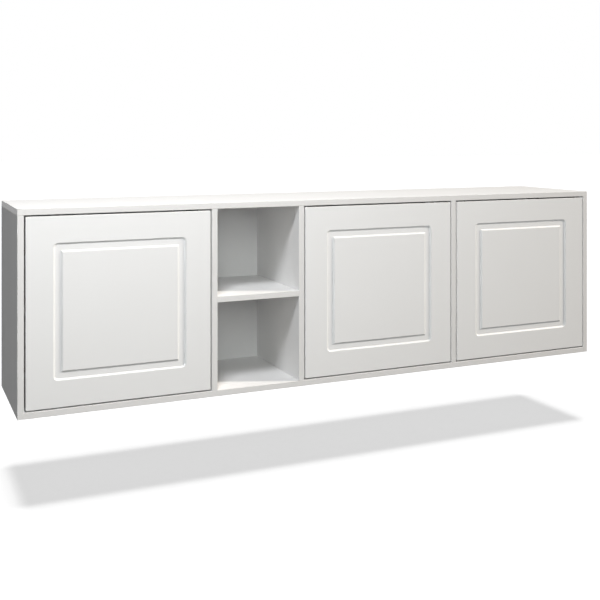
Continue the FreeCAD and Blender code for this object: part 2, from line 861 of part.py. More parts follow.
for n in range(3):
    name = "_%d" % (n + 1)
    save("door" + name, [make_door(n)])
    save("hinge_cups" + name, at_hinges([hinge_cup()], n))
    save("hinge_cup_pins" + name, at_hinges(cup_pins(), n))
    save("hinge_cup_screws" + name, at_hinges(cup_screws(), n))
    plates = [outer_link_plate(link_plate_inner, link_plate_outer),
              outer_link_plate(-link_plate_outer, -link_plate_inner)]
    save("hinge_outer_links" + name, at_hinges(plates, n))
    save("hinge_inner_links" + name, at_hinges([inner_link()], n))
    save("strike_plate" + name, [strike_plate(n)])
    save("strike_screw" + name, [strike_screw(n)])
    save("latch_plunger" + name, [latch_plunger(n)])

doors = range(3)
save("hinge_arms", [s for n in doors for s in at_hinges([hinge_arm()], n)])
save("hinge_arm_pins", [s for n in doors for s in at_hinges(arm_pins(), n)])
save("hinge_plates", [s for n in doors for s in at_hinges([mounting_plate()], n)])
save("hinge_plate_screws", [s for n in doors for s in at_hinges(plate_screws(), n)])
save("hinge_arm_screws", [s for n in doors for s in at_hinges(arm_screws(), n)])
save("latch_housings", [latch_housing(n) for n in doors])
save("latch_screws", [s for n in doors for s in latch_screws(n)])
save("wall_rail", [make_wall_rail()])
save("hanger_housings", [hanger_housing(x, into) for x, into, key in hanger_places])
save("hanger_hooks", [hanger_hook(x, into) for x, into, key in hanger_places])
save("hanger_adjusters", [s for x, into, key in hanger_places for s in hanger_screws(x, into)])
save("hanger_fixings", [s for x, into, key in hanger_places for s in hanger_fixings(x, into)])
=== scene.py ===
import math

import bmesh
import bpy
from mathutils import Matrix, Vector


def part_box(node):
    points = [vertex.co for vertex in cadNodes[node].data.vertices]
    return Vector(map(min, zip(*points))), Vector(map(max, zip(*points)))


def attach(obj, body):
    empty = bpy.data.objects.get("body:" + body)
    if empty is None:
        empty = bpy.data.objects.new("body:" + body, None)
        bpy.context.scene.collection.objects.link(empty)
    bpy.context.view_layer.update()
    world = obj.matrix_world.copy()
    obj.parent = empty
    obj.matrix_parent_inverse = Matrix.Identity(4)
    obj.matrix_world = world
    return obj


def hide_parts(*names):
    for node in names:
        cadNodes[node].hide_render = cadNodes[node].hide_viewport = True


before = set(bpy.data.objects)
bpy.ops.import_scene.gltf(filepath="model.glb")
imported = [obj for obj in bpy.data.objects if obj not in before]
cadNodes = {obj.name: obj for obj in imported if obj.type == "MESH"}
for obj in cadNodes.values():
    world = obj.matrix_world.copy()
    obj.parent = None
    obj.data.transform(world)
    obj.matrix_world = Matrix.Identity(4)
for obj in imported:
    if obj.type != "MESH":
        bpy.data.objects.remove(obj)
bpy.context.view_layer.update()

mm = 0.001
touch = 0.1 * mm
samePoint = 0.001 * mm
hair = 0.004 * mm
# how far a cutting tool runs past a face
past = 1 * mm
doorNumbers = (1, 2, 3)
print("frame loaded:", len(cadNodes), "nodes")


class Sizes(dict):
    # a dictionary whose entries can be written as attributes
    __getattr__ = dict.__getitem__


def inMetres(size):
    # every piece's sizes are written in millimetres
    if isinstance(size, dict):
        return Sizes({name: inMetres(value) for name, value in size.items()})
    if isinstance(size, tuple):
        return tuple(inMetres(value) for value in size)
    return size * mm


# finishes

def setInputs(mat, node, inputs):
    # an input takes a value, or a link from another node's output
    for key, value in inputs.items():
        if isinstance(value, bpy.types.NodeSocket):
            mat.node_tree.links.new(value, node.inputs[key])
        else:
            node.inputs[key].default_value = value


def addNode(mat, kind, output=None, inputs=None, **settings):
    # gives the named output of a new node
    node = mat.node_tree.nodes.new("ShaderNode" + kind)
    for key, value in settings.items():
        setattr(node, key, value)
    setInputs(mat, node, inputs or {})
    return node.outputs[output] if output else node


def pattern(mat, scale, detail=3, rough=0.5, stretch=None, channel=None):
    # cloudy noise, or one colour channel of a patchwork of cells
    start = addNode(mat, "TexCoord", "Object")
    if stretch:
        start = addNode(mat, "Mapping", "Vector", {"Vector": start, "Scale": stretch})
    inputs = {"Vector": start, "Scale": scale}
    if channel:
        cells = addNode(mat, "TexVoronoi", "Color", {**inputs, "Randomness": 1})
        return addNode(mat, "SeparateColor", channel, {"Color": cells})
    return addNode(mat, "TexNoise", "Fac", {**inputs, "Detail": detail, "Roughness": rough})


def ramp(mat, level, tones):
    # colours along a level, from dark to light
    node = addNode(mat, "ValToRGB", None, {"Fac": level})
    stops = node.color_ramp.elements
    for i, (position, colour) in enumerate(tones):
        stop = stops[i] if i < 2 else stops.new(position)
        stop.position = position
        stop.color = (*colour, 1)
    return node.outputs["Color"]


def makeFinish(name, look):
    # a broad pattern tints the surface, a fine one sets its gloss and its relief
    mat = bpy.data.materials.new(name)
    mat.use_nodes = True
    fine = pattern(mat, *look["fine"])
    level = pattern(mat, *look["broad"]) if "broad" in look else fine
    if "blend" in look:
        level = addNode(mat, "Mix", "Result", {"Factor": look["blend"], "A": level, "B": fine})
    strength, depth = look["relief"]
    relief = addNode(mat, "Bump", "Normal", {"Strength": strength, "Distance": depth, "Height": fine})
    inputs = {"Base Color": ramp(mat, level, look["tones"]), "Normal": relief, **look["shine"]}
    if "gloss" in look:
        ends = dict(zip(("From Min", "From Max", "To Min", "To Max"), look["gloss"]))
        inputs["Roughness"] = addNode(mat, "MapRange", "Result", {"Value": fine, **ends})
    setInputs(mat, mat.node_tree.nodes["Principled BSDF"], inputs)
    return mat


def grey(value, warm):
    return (value * (1 + warm), value, value * (1 - warm))


def whiteLook(dark, light, cloud, pebble, gloss, relief, ior, specular):
    # a white board surface: faint clouds and a fine pebble
    return {"tones": ((0, dark), (1, light)), "broad": (cloud, 4, 0.6), "fine": (pebble, 2),
            "gloss": (0.3, 0.7) + gloss, "relief": relief,
            "shine": {"IOR": ior, "Specular IOR Level": specular}}


def fittingLook(dark, light, patches, grain, gloss, relief, metallic=1):
    # plated, cast or moulded: an uneven tone and a fine grain
    return {"tones": ((0, dark), (1, light)), "broad": patches, "fine": grain,
            "gloss": (0.25, 0.75) + gloss, "relief": (relief, 0.06 * mm), "shine": {"Metallic": metallic}}


def fibreLook(tones, fine, relief, rough, **more):
    # raw wood products
    return {"tones": tones, "fine": fine, "relief": relief, "shine": {"Roughness": rough}, **more}


# patterns are (scale, detail, roughness, stretch, cell channel), reliefs (strength, depth)
chipStretch = (0.35, 0.5, 1.4)
looks = {
    "whiteFoil": whiteLook(grey(0.815, 0.006), grey(0.84, 0.004), 6, 900, (0.34, 0.44),
                           (0.12, 0.12 * mm), 1.46, 0.45),
    "whiteMelamine": whiteLook(grey(0.83, 0.006), grey(0.855, 0.006), 5, 1600, (0.68, 0.8),
                               (0.25, 0.1 * mm), 1.45, 0.4),
    "whiteEdging": whiteLook(grey(0.735, 0.014), grey(0.755, 0.014), 9, 1200, (0.38, 0.5),
                             (0.15, 0.1 * mm), 1.47, 0.45),
    "whiteLacquer": whiteLook(grey(0.8, 0.004), grey(0.83, 0.004), 18, 700, (0.5, 0.66),
                              (0.3, 0.15 * mm), 1.45, 0.35),
    # pressed wood chips, seen where a board's edge is left raw
    "rawChipboard": fibreLook(((0, (0.3, 0.2, 0.115)), (0.5, (0.5, 0.365, 0.23)), (1, (0.66, 0.52, 0.36))),
                              (420, 0, 0, chipStretch, "Green"), (0.7, 0.4 * mm), 0.9,
                              broad=(420, 0, 0, chipStretch, "Red")),
    # felted brown fibre with darker blotches
    "brownHardboard": fibreLook(((0.3, (0.25, 0.148, 0.08)), (0.7, (0.4, 0.26, 0.15))), (260, 6, 0.7),
                                (0.4, 0.2 * mm), 0.78, broad=(14,), blend=0.7),
    # fine even fibre, seen inside a door's bores
    "rawFibreboard": fibreLook(((0, (0.29, 0.195, 0.115)), (1, (0.46, 0.34, 0.22))), (900, 6, 0.7),
                               (0.5, 0.2 * mm), 0.88),
    "beechWood": fibreLook(((0, (0.42, 0.25, 0.13)), (1, (0.62, 0.42, 0.26))),
                           (700, 5, 0.65, (1, 1, 0.12)), (0.4, 0.1 * mm), 0.62),
    "nickelPlate": fittingLook((0.62, 0.6, 0.56), (0.7, 0.68, 0.645), (60,),
                               (1300, 3, 0.6, (0.6, 0.6, 1.8)), (0.22, 0.31), 0.08),
    "brightZincPlate": fittingLook((0.6, 0.615, 0.64), (0.72, 0.73, 0.75), (300,),
                                   (1400, 3, 0.6), (0.22, 0.42), 0.3),
    "dieCastZinc": fittingLook((0.43, 0.435, 0.45), (0.56, 0.565, 0.58), (180,),
                               (1100, 3, 0.6), (0.38, 0.58), 0.5),
    # crystal patches of a dipped zinc coat
    "galvanisedSheet": fittingLook((0.52, 0.535, 0.55), (0.66, 0.67, 0.68), (170, 0, 0, None, "Red"),
                                   (500, 3, 0.6), (0.3, 0.52), 0.25),
    "greyPlastic": fittingLook((0.3, 0.305, 0.31), (0.36, 0.365, 0.37), (40,),
                               (1500, 3, 0.6), (0.42, 0.56), 0.5, 0),
    "softRubber": fittingLook((0.055, 0.055, 0.06), (0.085, 0.085, 0.09), (90,),
                              (1800, 3, 0.6), (0.7, 0.86), 0.6, 0),
}
finishes = {name: makeFinish(name, look) for name, look in looks.items()}
slotFinishes = {
    "white_board": ("whiteMelamine", "rawChipboard"),
    "white_back": ("whiteLacquer", "brownHardboard"),
    "white_door": ("whiteFoil", "whiteMelamine", "rawFibreboard"),
    "beech": ("beechWood",),
    "zinc_alloy": ("dieCastZinc",),
    "nickel_steel": ("nickelPlate",),
    "bright_steel": ("brightZincPlate",),
    "grey_plastic": ("greyPlastic",),
    "galvanised_steel": ("galvanisedSheet",),
}
print("finishes made:", len(finishes))


# tools for meshes

def onCircle(degrees):
    return Vector((math.cos(math.radians(degrees)), math.sin(math.radians(degrees))))


def arc(centre, radius, start, end, steps):
    return [Vector(centre) + onCircle(start + (end - start) * i / steps) * radius for i in range(steps + 1)]


def addSkin(bm, rings, closed=False, caps=True, paint=0):
    # joins rings of points with faces; a ring of one point is a tip, and open ends get flat caps
    rings = [[bm.verts.new(point) for point in ring] for ring in rings]
    faces, ends = [], []
    for low, high in list(zip(rings, rings[1:])) + [(rings[-1], rings[0])] * closed:
        count = max(len(low), len(high))
        for i in range(count):
            j = (i + 1) % count
            quad = (low[i % len(low)], low[j % len(low)], high[j % len(high)], high[i % len(high)])
            faces.append(bm.faces.new(list(dict.fromkeys(quad))))
    if caps:
        ends = [bm.faces.new(rings[0][::-1]), bm.faces.new(rings[-1])]
    for face in faces + ends:
        face.material_index = paint
    return ends


def addLathe(bm, profile, start=(0, 0, 0), along=(0, 0, 1), sides=28,
             closed=False, caps=False, paint=0):
    # turns (radius, distance) points round an axis; a radius of 0 closes an end
    way = Vector(along).normalized()
    side = way.orthogonal().normalized()
    axes = Matrix((side, way.cross(side), way)).transposed()
    rings = []
    for radius, step in profile:
        turns = [onCircle(360 * i / sides) * radius for i in range(sides)] if radius else [Vector((0, 0))]
        rings.append([Vector(start) + axes @ Vector((*turn, step)) for turn in turns])
    addSkin(bm, rings, closed, caps, paint)
    return bm


def addRod(bm, start, along, radius, length, sides=24, paint=0):
    addLathe(bm, [(radius, 0), (radius, length)], start, along, sides, False, True, paint)


def addBlock(bm, low, high, paint=0):
    corners = [bm.verts.new((x, y, z)) for x in (low[0], high[0])
               for y in (low[1], high[1]) for z in (low[2], high[2])]
    for quad in ((0, 1, 3, 2), (4, 6, 7, 5), (0, 4, 5, 1), (2, 3, 7, 6), (0, 2, 6, 4), (1, 5, 7, 3)):
        bm.faces.new([corners[i] for i in quad]).material_index = paint


def faceOut(bm):
    bmesh.ops.recalc_face_normals(bm, faces=bm.faces)
    bm.normal_update()


def block(low, high):
    bm = bmesh.new()
    addBlock(bm, low, high)
    faceOut(bm)
    return bm


def sharpEdges(bm, least=40):
    limit = math.radians(least)
    return [e for e in bm.edges if len(e.link_faces) == 2 and e.calc_face_angle() > limit]


def roundEdges(bm, edges, radius, segments=2):
    if edges:
        bmesh.ops.bevel(bm, geom=edges, offset=radius, offset_type="OFFSET", segments=segments,
                        profile=0.5, affect="EDGES", clamp_overlap=True)


def keepMesh(bm, name="template"):
    mesh = bpy.data.meshes.new(name)
    bm.to_mesh(mesh)
    bm.free()
    return mesh


def addThing(name, data):
    thing = bpy.data.objects.new(name, data)
    bpy.context.scene.collection.objects.link(thing)
    return thing


def addCopies(bm, mesh, places):
    for place in places:
        copy = mesh.copy()
        copy.transform(place)
        bm.from_mesh(copy)
        bpy.data.meshes.remove(copy)


def mergeInto(bm, part, place=Matrix()):
    scratch = keepMesh(part)
    addCopies(bm, scratch, [place])
    bpy.data.meshes.remove(scratch)
    return bm


def cutAway(bm, cutter, operation="DIFFERENCE"):
    # takes the cutter's solids out of the mesh, or welds them on
    if not cutter.faces:
        return bm
    things = []
    for source in (bm, cutter):
        faceOut(source)
        things.append(addThing("cutPart", keepMesh(source)))
        # empty slots, so that each face keeps its look
        for look in max(slotFinishes.values(), key=len):
            things[-1].data.materials.append(None)
    part, tool = things
    cut = part.modifiers.new("cut", "BOOLEAN")
    cut.operation = operation
    cut.solver = "EXACT"
    cut.object = tool
    bpy.context.view_layer.update()
    graph = bpy.context.evaluated_depsgraph_get()
    result = bmesh.new()
    result.from_mesh(part.evaluated_get(graph).to_mesh())
    for thing in things:
        bpy.data.meshes.remove(thing.data)
    # points closer than a hair, and points on a straight edge, would leave slivers behind
    bmesh.ops.remove_doubles(result, verts=result.verts, dist=hair)
    bmesh.ops.dissolve_verts(result, verts=[v for v in result.verts if len(v.link_edges) == 2])
    return result


def drillOut(bm, rods):
    # cuts rods away, each given as start, direction, radius, length and the rest that addRod takes
    cutter = bmesh.new()
    for rod in rods:
        addRod(cutter, *rod)
    return cutAway(bm, cutter)


def finishPiece(node, ending, bm, slotName, body="cabinet", nodes=None, looksUsed=None, smoothBelow=35):
    # makes the piece that stands for a CAD node, or for the nodes given
    faceOut(bm)
    mesh = keepMesh(bm, node + "_" + ending)
    piece = addThing(mesh.name, mesh)
    for look in looksUsed or slotFinishes[slotName]:
        mesh.materials.append(finishes[look])
    mesh.polygons.foreach_set("use_smooth", [True] * len(mesh.polygons))
    mesh.set_sharp_from_angle(angle=math.radians(smoothBelow))
    weighted = piece.modifiers.new("evenNormals", "WEIGHTED_NORMAL")
    weighted.keep_sharp = True
    weighted.weight = 80
    nodes = [node] if nodes is None else nodes
    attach(piece, body)
    if nodes:
        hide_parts(*nodes)


def placeCopies(node, ending, template, places, slotName, body="cabinet", nodes=None):
    # one piece made of the template repeated at each place
    bm = bmesh.new()
    addCopies(bm, template, places)
    finishPiece(node, ending, bm, slotName, body, nodes)


def facing(at, out, turn=0):
    # a place at a point, its Z axis looking out along the given direction
    way = Vector(out).to_track_quat("Z", "Y").to_matrix().to_4x4()
    return Matrix.Translation(Vector(at)) @ way @ Matrix.Rotation(math.radians(turn), 4, "Z")


def solidsOf(node):
    # low and high corner of each separate solid in a CAD node
    bm = bmesh.new()
    bm.from_mesh(cadNodes[node].data)
    bmesh.ops.remove_doubles(bm, verts=bm.verts, dist=samePoint)
    seen, found = set(), []
    for first in bm.verts:
        if first in seen:
            continue
        seen.add(first)
        group = [first]
        # the list grows while it is walked, until all that is joined to the first point is in it
        for vert in group:
            near = {edge.other_vert(vert) for edge in vert.link_edges} - seen
            seen |= near
            group += near
        found.append([Vector([pick(v.co[k] for v in group) for k in range(3)]) for pick in (min, max)])
    bm.free()
    return found


def meets(low, high, otherLow, otherHigh, slack=touch):
    return all(low[k] < otherHigh[k] + slack and otherLow[k] < high[k] + slack for k in range(3))


def thinAxis(low, high):
    return min(range(3), key=lambda k: high[k] - low[k])


def unit(axis, sign=1):
    way = Vector((0, 0, 0))
    way[axis] = sign
    return way


def rodOf(low, high):
    # start, direction and length of a straight pin in its box
    axis = max(range(3), key=lambda k: high[k] - low[k])
    start = (low + high) / 2
    start[axis] = low[axis]
    return start, unit(axis), high[axis] - low[axis]


def rodsOf(node):
    return [rodOf(low, high) for low, high in solidsOf(node)]


def softCorner(before, corner, after, radius, steps=5):
    # points round one corner of an outline
    before, corner, after = Vector(before), Vector(corner), Vector(after)
    a, b = (before - corner).normalized(), (after - corner).normalized()
    half = a.angle(b) / 2
    reach = radius / math.tan(half)
    centre = corner + (a + b).normalized() * (radius / math.sin(half))
    start, end = corner + a * reach - centre, corner + b * reach - centre
    return [centre + start.lerp(end, i / steps).normalized() * radius for i in range(steps + 1)]


def softOutline(points, radius, steps=4):
    # closed outline with rounded corners, with one radius or one for each corner
    rounded = []
    for i, corner in enumerate(points):
        size = radius[i] if isinstance(radius, tuple) else radius
        rounded += softCorner(points[i - 1], corner, points[(i + 1) % len(points)], size, steps)
    return rounded


def oblong(left, low, right, high):
    return [(left, low), (right, low), (right, high), (left, high)]


def crossOutline(reach, half):
    return [(half, half), (half, reach), (-half, reach), (-half, half), (-reach, half), (-reach, -half),
            (-half, -half), (-half, -reach), (half, -reach), (half, -half), (reach, -half), (reach, half)]


def slab(outline, low, high, axis, rim=0, segments=2):
    # a flat outline made thick along one axis, with rounded rims
    order = ((2, 0, 1), (0, 2, 1), (0, 1, 2))[axis]
    bm = bmesh.new()
    rings = [[Vector([(a, b, step)[k] for k in order]) for a, b in outline] for step in (low, high)]
    caps = addSkin(bm, rings)
    faceOut(bm)
    if rim:
        roundEdges(bm, [edge for cap in caps for edge in cap.edges], rim, segments)
    return bm


def softBlock(low, high, radius, segments=3):
    bm = block(low, high)
    roundEdges(bm, list(bm.edges), radius, segments)
    return bm


# boards: chipboard core, melamine faces, glued edging

board = inMetres({
    "edgingThickness": 1, "edgingRound": 0.7, "arris": 0.12,
    "camRadius": 7.6, "camDepth": 12.1, "pinRadius": 2.6, "pinDepth": 7.1, "pinPitch": 32,
    "backGroovePlay": 0.1, "backGrooveEnds": 0.3, "drillStart": 0.5, "drillEnds": 0.1,
})
# which sides of each board carry edging
bandedSides = {
    "top_panel": "front left right", "bottom_panel": "front",
    "left_side_panel": "front bottom", "right_side_panel": "front bottom",
    **{"divider_%d" % number: "front" for number in (1, 2, 3)}, "open_bay_shelf": "front",
    **{"inner_shelf_%d" % number: "front left right back" for number in doorNumbers},
}
sideAxis = {"front": (1, 0), "back": (1, 1), "left": (0, 0), "right": (0, 1), "bottom": (2, 0)}
# fittings that sit in drilled holes, with the hole's radius
drilled = inMetres({"wood_dowels": 4.1, "cam_pins": 3.6, "hinge_plate_screws": 2,
                    "latch_screws": 2, "hanger_fixings": 2})
backLow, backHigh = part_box("back_panel")
camSolids = solidsOf("cam_locks")
pinSolids = solidsOf("shelf_pins")
drilledSolids = [(low, high, radius) for node, radius in drilled.items() for low, high in solidsOf(node)]


def drillings(low, high):
    # a round hole for every fitting that reaches into this box
    rods = []
    ends = board.drillEnds
    for rodLow, rodHigh, radius in drilledSolids:
        if meets(low, high, rodLow, rodHigh, -board.drillStart):
            start, along, length = rodOf(rodLow, rodHigh)
            rods.append((start - along * ends, along, radius, length + 2 * ends, 24, 1))
    return rods


def boardBores(low, high):
    # bores for cams and shelf pins, and the groove that the back panel slides in
    cutter = bmesh.new()
    thin = thinAxis(low, high)
    early = board.drillStart

    def bore(start, fromHigh, name, sides):
        towards = 1 if fromHigh else -1
        start[thin] = (high if fromHigh else low)[thin] + towards * early
        addRod(cutter, start, unit(thin, -towards), board[name + "Radius"],
               board[name + "Depth"] + early, sides, 1)

    for camLow, camHigh in camSolids:
        if all(camLow[k] > low[k] - touch and camHigh[k] < high[k] + touch for k in range(3)):
            fromHigh = high[thin] - camHigh[thin] < camLow[thin] - low[thin]
            bore((camLow + camHigh) / 2, fromHigh, "cam", 40)
    for pinLow, pinHigh in pinSolids:
        if thin == 0 and meets(low, high, pinLow, pinHigh, -early):
            for row in (-1, 0, 1):
                start = (pinLow + pinHigh) / 2 + unit(2, row * board.pinPitch)
                bore(start, pinHigh[0] > high[0], "pin", 24)
    if high[1] > backHigh[1] and not (low[0] > backLow[0] and high[0] < backHigh[0] and thin == 0):
        ends = board.backGrooveEnds
        room = Vector((ends, board.backGroovePlay, ends))
        addBlock(cutter, backLow - room, backHigh + room, 1)
    return cutter


def makeBoard(node):
    low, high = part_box(node)
    sides = bandedSides[node].split()
    strip = board.edgingThickness
    coreEnds = [low.copy(), high.copy()]
    bands = bmesh.new()
    for side in sides:
        axis, end = sideAxis[side]
        stripEnds = [low.copy(), high.copy()]
        coreEnds[end][axis] += -strip if end else strip
        stripEnds[1 - end][axis] = coreEnds[end][axis]
        if axis != 1:
            stripEnds[0][1] += strip
            stripEnds[1][1] -= strip if "back" in sides else 0
        part = block(*stripEnds)
        outer = (high if end else low)[axis]
        outerEdges = [e for e in part.edges if all(abs(v.co[axis] - outer) < samePoint for v in e.verts)]
        roundEdges(part, outerEdges, board.edgingRound, 4)
        roundEdges(part, sharpEdges(part, 60), board.arris, 1)
        mergeInto(bands, part)
    core = block(*coreEnds)
    thin = thinAxis(low, high)
    for face in core.faces:
        face.material_index = 1 if abs(face.normal[thin]) < 0.5 else 0
    roundEdges(core, sharpEdges(core), board.arris, 1)
    core = cutAway(drillOut(core, drillings(low, high)), boardBores(low, high))
    finishPiece(node, "board", core, "white_board")
    finishPiece(node, "edging", bands, "white_board", nodes=(), looksUsed=["whiteEdging"])


for boardNode in bandedSides:
    makeBoard(boardNode)
print("boards made:", len(bandedSides))


# back panel: thin hardboard, lacquered inside, notched for the hangers' hooks

backPanel = inMetres({"arris": 0.15, "notchPlay": (4, 1, 2)})


def makeBackPanel():
    panel = block(backLow, backHigh)
    for face in panel.faces:
        face.material_index = 0 if face.normal[1] < -0.5 else 1
    roundEdges(panel, sharpEdges(panel), backPanel.arris, 1)
    notches = bmesh.new()
    play = Vector(backPanel.notchPlay)
    for hookLow, hookHigh in solidsOf("hanger_hooks"):
        hookLow[1], hookHigh[1] = backLow[1], backHigh[1]
        addBlock(notches, hookLow - play, hookHigh + play, 1)
    finishPiece("back_panel", "sheet", cutAway(panel, notches), "white_back")


makeBackPanel()
print("back panel made")


# doors: routed fibreboard wrapped in foil

door = inMetres({
    "frontRound": 1.2, "cornerRound": 1, "frontCornerRound": 1.2, "backArris": 0.35,
    "stile": 68, "grooveWidth": 24, "grooveFloor": 15, "grooveDepth": 3.5, "lipRound": 0.9,
    "lipReach": 4, "innerCorner": 0.9,
    "drillStart": 1, "cupRadius": 17.6, "cupDepth": 12.1, "cupFromEdge": 22,
    "screwRadius": 2, "screwDepth": 10.1, "screwInward": 9.5, "screwAcross": 22.5,
    "strikeRadius": 1.6, "strikeDepth": 9.1,
})
cornerSteps = 10
frontSteps = 6
hingeSides = {1: -1, 2: -1, 3: 1}


def roundedRing(low, high, inset, depth, radius):
    # one closed ring of points round the door's face
    x0, x1 = low[0] + inset + radius, high[0] - inset - radius
    z0, z1 = low[2] + inset + radius, high[2] - inset - radius
    return [(x, low[1] + depth, z) for i, corner in enumerate(((x1, z1), (x0, z1), (x0, z0), (x1, z0)))
            for x, z in arc(corner, radius, 90 * i, 90 * i + 90, cornerSteps)]


def grooveSection():
    # (distance from the groove's centre line, depth), from the outer lip to the inner one
    half, floor = door.grooveWidth / 2, door.grooveFloor / 2
    depth, lip = door.grooveDepth, door.lipRound
    far = half + door.lipReach
    run = softCorner((far, 0), (half, 0), (floor, depth), lip)
    run += softCorner((half, 0), (floor, depth), (0, depth), lip)
    return run + [(-away, down) for away, down in reversed(run)]


def makeDoor(number):
    node = "door_%d" % number
    low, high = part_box(node)
    thickness, arris, edge = high[1] - low[1], door.backArris, door.frontRound
    # (inset, depth, corner radius) of each ring, from the back over the front's edge and through the groove
    steps = [(arris, thickness, door.cornerRound), (0, thickness - arris, door.cornerRound)]
    steps += [(edge - away, edge - rise, door.frontCornerRound)
              for away, rise in arc((0, 0), edge, 0, 90, frontSteps)]
    centreLine = door.stile + door.grooveWidth / 2
    steps += [(centreLine - away, depth, max(away, door.innerCorner)) for away, depth in grooveSection()]
    bm = bmesh.new()
    addSkin(bm, [roundedRing(low, high, *step) for step in steps])[0].material_index = 1
    side = hingeSides[number]
    edgeX = (low if side < 0 else high)[0]
    strikeLow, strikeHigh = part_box("strike_plate_%d" % number)
    bores = [((strikeLow[0] + strikeHigh[0]) / 2, (strikeLow[2] + strikeHigh[2]) / 2, "strike", 20)]
    for cupLow, cupHigh in solidsOf("hinge_cups_%d" % number):
        x, z = edgeX - side * door.cupFromEdge, (cupLow[2] + cupHigh[2]) / 2
        bores.append((x, z, "cup", 64))
        for up in (-1, 1):
            bores.append((x - side * door.screwInward, z + up * door.screwAcross, "screw", 20))
    early = door.drillStart
    rods = [((x, high[1] + early, z), (0, -1, 0), door[kind + "Radius"], door[kind + "Depth"] + early,
             sides, 2) for x, z, kind, sides in bores]
    bm = drillOut(bm, rods)
    finishPiece(node, "front", bm, "white_door", node, smoothBelow=28)


for doorNumber in doorNumbers:
    makeDoor(doorNumber)
print("doors made")


# screws

screwSizes = inMetres({
    "board": {"headRadius": 3.6, "head": 1.8, "shank": 1.9, "pitch": 1.4, "recess": 2},
    "strike": {"headRadius": 2.9, "head": 0, "shank": 1.5, "pitch": 1.1, "recess": 1.7},
    "adjuster": {"headRadius": 5.5, "head": 2, "shank": 3, "pitch": 1, "recess": 3.2},
})
screwForm = inMetres({"domedRim": 0.12, "domedNeck": 0.5, "sunkRim": 0.1, "sunkNeck": 0.4, "point": 2.4,
                      "blunt": 0.5, "recessAbove": 0.4, "recessBelow": 1.3})
# the domed head, as shares of its radius and height
screwDome = ((0.45, 0.985), (0.7, 0.9), (0.87, 0.7), (0.96, 0.42), (1, 0.12))
# the thread's root as shares of shank and pitch, the recess's blade and foot as shares of its reach
screwShares = Sizes({"root": 0.76, "rootPlace": 0.55, "blade": 0.28, "foot": 0.55})


def screwTemplate(kind, length, pointed=True):
    # head looking up along Z and seated at zero, thread below
    size, form, share = screwSizes[kind], screwForm, screwShares
    wide, tall, shank, pitch, reach = size.headRadius, size.head, size.shank, size.pitch, size.recess
    if tall:
        profile = [(0, tall)] + [(wide * a, tall * b) for a, b in screwDome]
        profile += [(wide - form.domedRim, 0), (shank, 0)]
        depth = -form.domedNeck
    else:
        rim = form.sunkRim
        profile = [(0, 0), (wide - rim, 0), (wide, -rim), (shank, shank - wide)]
        depth = shank - wide - form.sunkNeck
    root, tip = shank * share.root, form["point" if pointed else "blunt"]
    profile.append((shank, depth))
    while depth - pitch > tip - length:
        depth -= pitch
        profile += [(root, depth + pitch * share.rootPlace), (shank, depth)]
    profile += [(root, tip - length if pointed else -length), (0, -length)]
    rings = [[(x, y, z) for x, y in crossOutline(reach * grow, reach * share.blade * (1 + grow) / 2)]
             for grow, z in ((1, tall + form.recessAbove), (share.foot, tall - form.recessBelow))]
    recess = bmesh.new()
    addSkin(recess, rings)
    return keepMesh(cutAway(addLathe(bmesh.new(), profile, sides=20), recess))


# joints: fluted dowels, turned cam pins and cams

dowel = inMetres({"radius": 4, "fluteDepth": 0.25, "chamfer": 0.8})
flutes = 14
# profiles are (radius, distance): a cam pin's from its gripped end, a cam's face ring from its centre
camPin = inMetres({
    "radius": 3.45, "thread": 10.5, "root": 2.7, "pitch": 1.5, "plainEnd": 1, "reach": 6,
    "profile": ((0, 0), (2.5875, 0.3), (3.45, 1.5), (3.45, 3), (2.1, 4.2), (2.1, 7.4), (3.45, 8.4)),
})
cam = inMetres({
    "radius": 7.45, "depth": 12, "chamfer": 0.35, "sink": 0.05,
    "faceRing": ((0, 0), (5.75, 0), (6, -0.35), (6.3, -0.35), (6.55, 0)),
    "slot": 1, "slotReach": 4.9, "slotDepth": 2.6,
    "arrow": 1.3, "arrowHalf": 0.78, "arrowEdge": 0.25, "arrowDepth": 0.3,
    "throat": 3.6, "throatStart": -0.2, "throatLength": 9, "throatDepth": 8,
})


def makeDowels():
    bm = bmesh.new()
    cut = dowel.chamfer
    for start, along, length in rodsOf("wood_dowels"):
        rings = []
        for inset, step in ((cut, 0), (0, cut), (0, length - cut), (cut, length)):
            radii = [dowel.radius - inset - drop for drop in (dowel.fluteDepth, 0, 0) * flutes]
            rings.append([(*onCircle(i * 120 / flutes) * radius, step) for i, radius in enumerate(radii)])
        part = bmesh.new()
        addSkin(part, rings)
        mergeInto(bm, part, facing(start, along))
    finishPiece("dowels", "fluted", bm, "beech", nodes=["wood_dowels"], smoothBelow=20)


def camJoints():
    # for each cam its box, the end of the pin it grips, the way to the mating board and the pin's length
    found = []
    for start, along, length in rodsOf("cam_pins"):
        for low, high in camSolids:
            for near, way in ((start, along), (start + along * length, -along)):
                if (near - (low + high) / 2).length < camPin.reach:
                    found.append((low, high, near, way, length))
    return found


def makeCamPins():
    bm = bmesh.new()
    r, root, pitch = camPin.radius, camPin.root, camPin.pitch
    for low, high, near, way, length in camJoints():
        depth = length - camPin.thread
        profile = list(camPin.profile) + [(r, depth)]
        while depth + pitch < length - camPin.plainEnd:
            profile += [(root, depth + pitch / 2), (r, depth + pitch)]
            depth += pitch
        addLathe(bm, profile + [(root, length), (0, length)], near, way, sides=20)
    finishPiece("cam_pins", "turned", bm, "zinc_alloy")


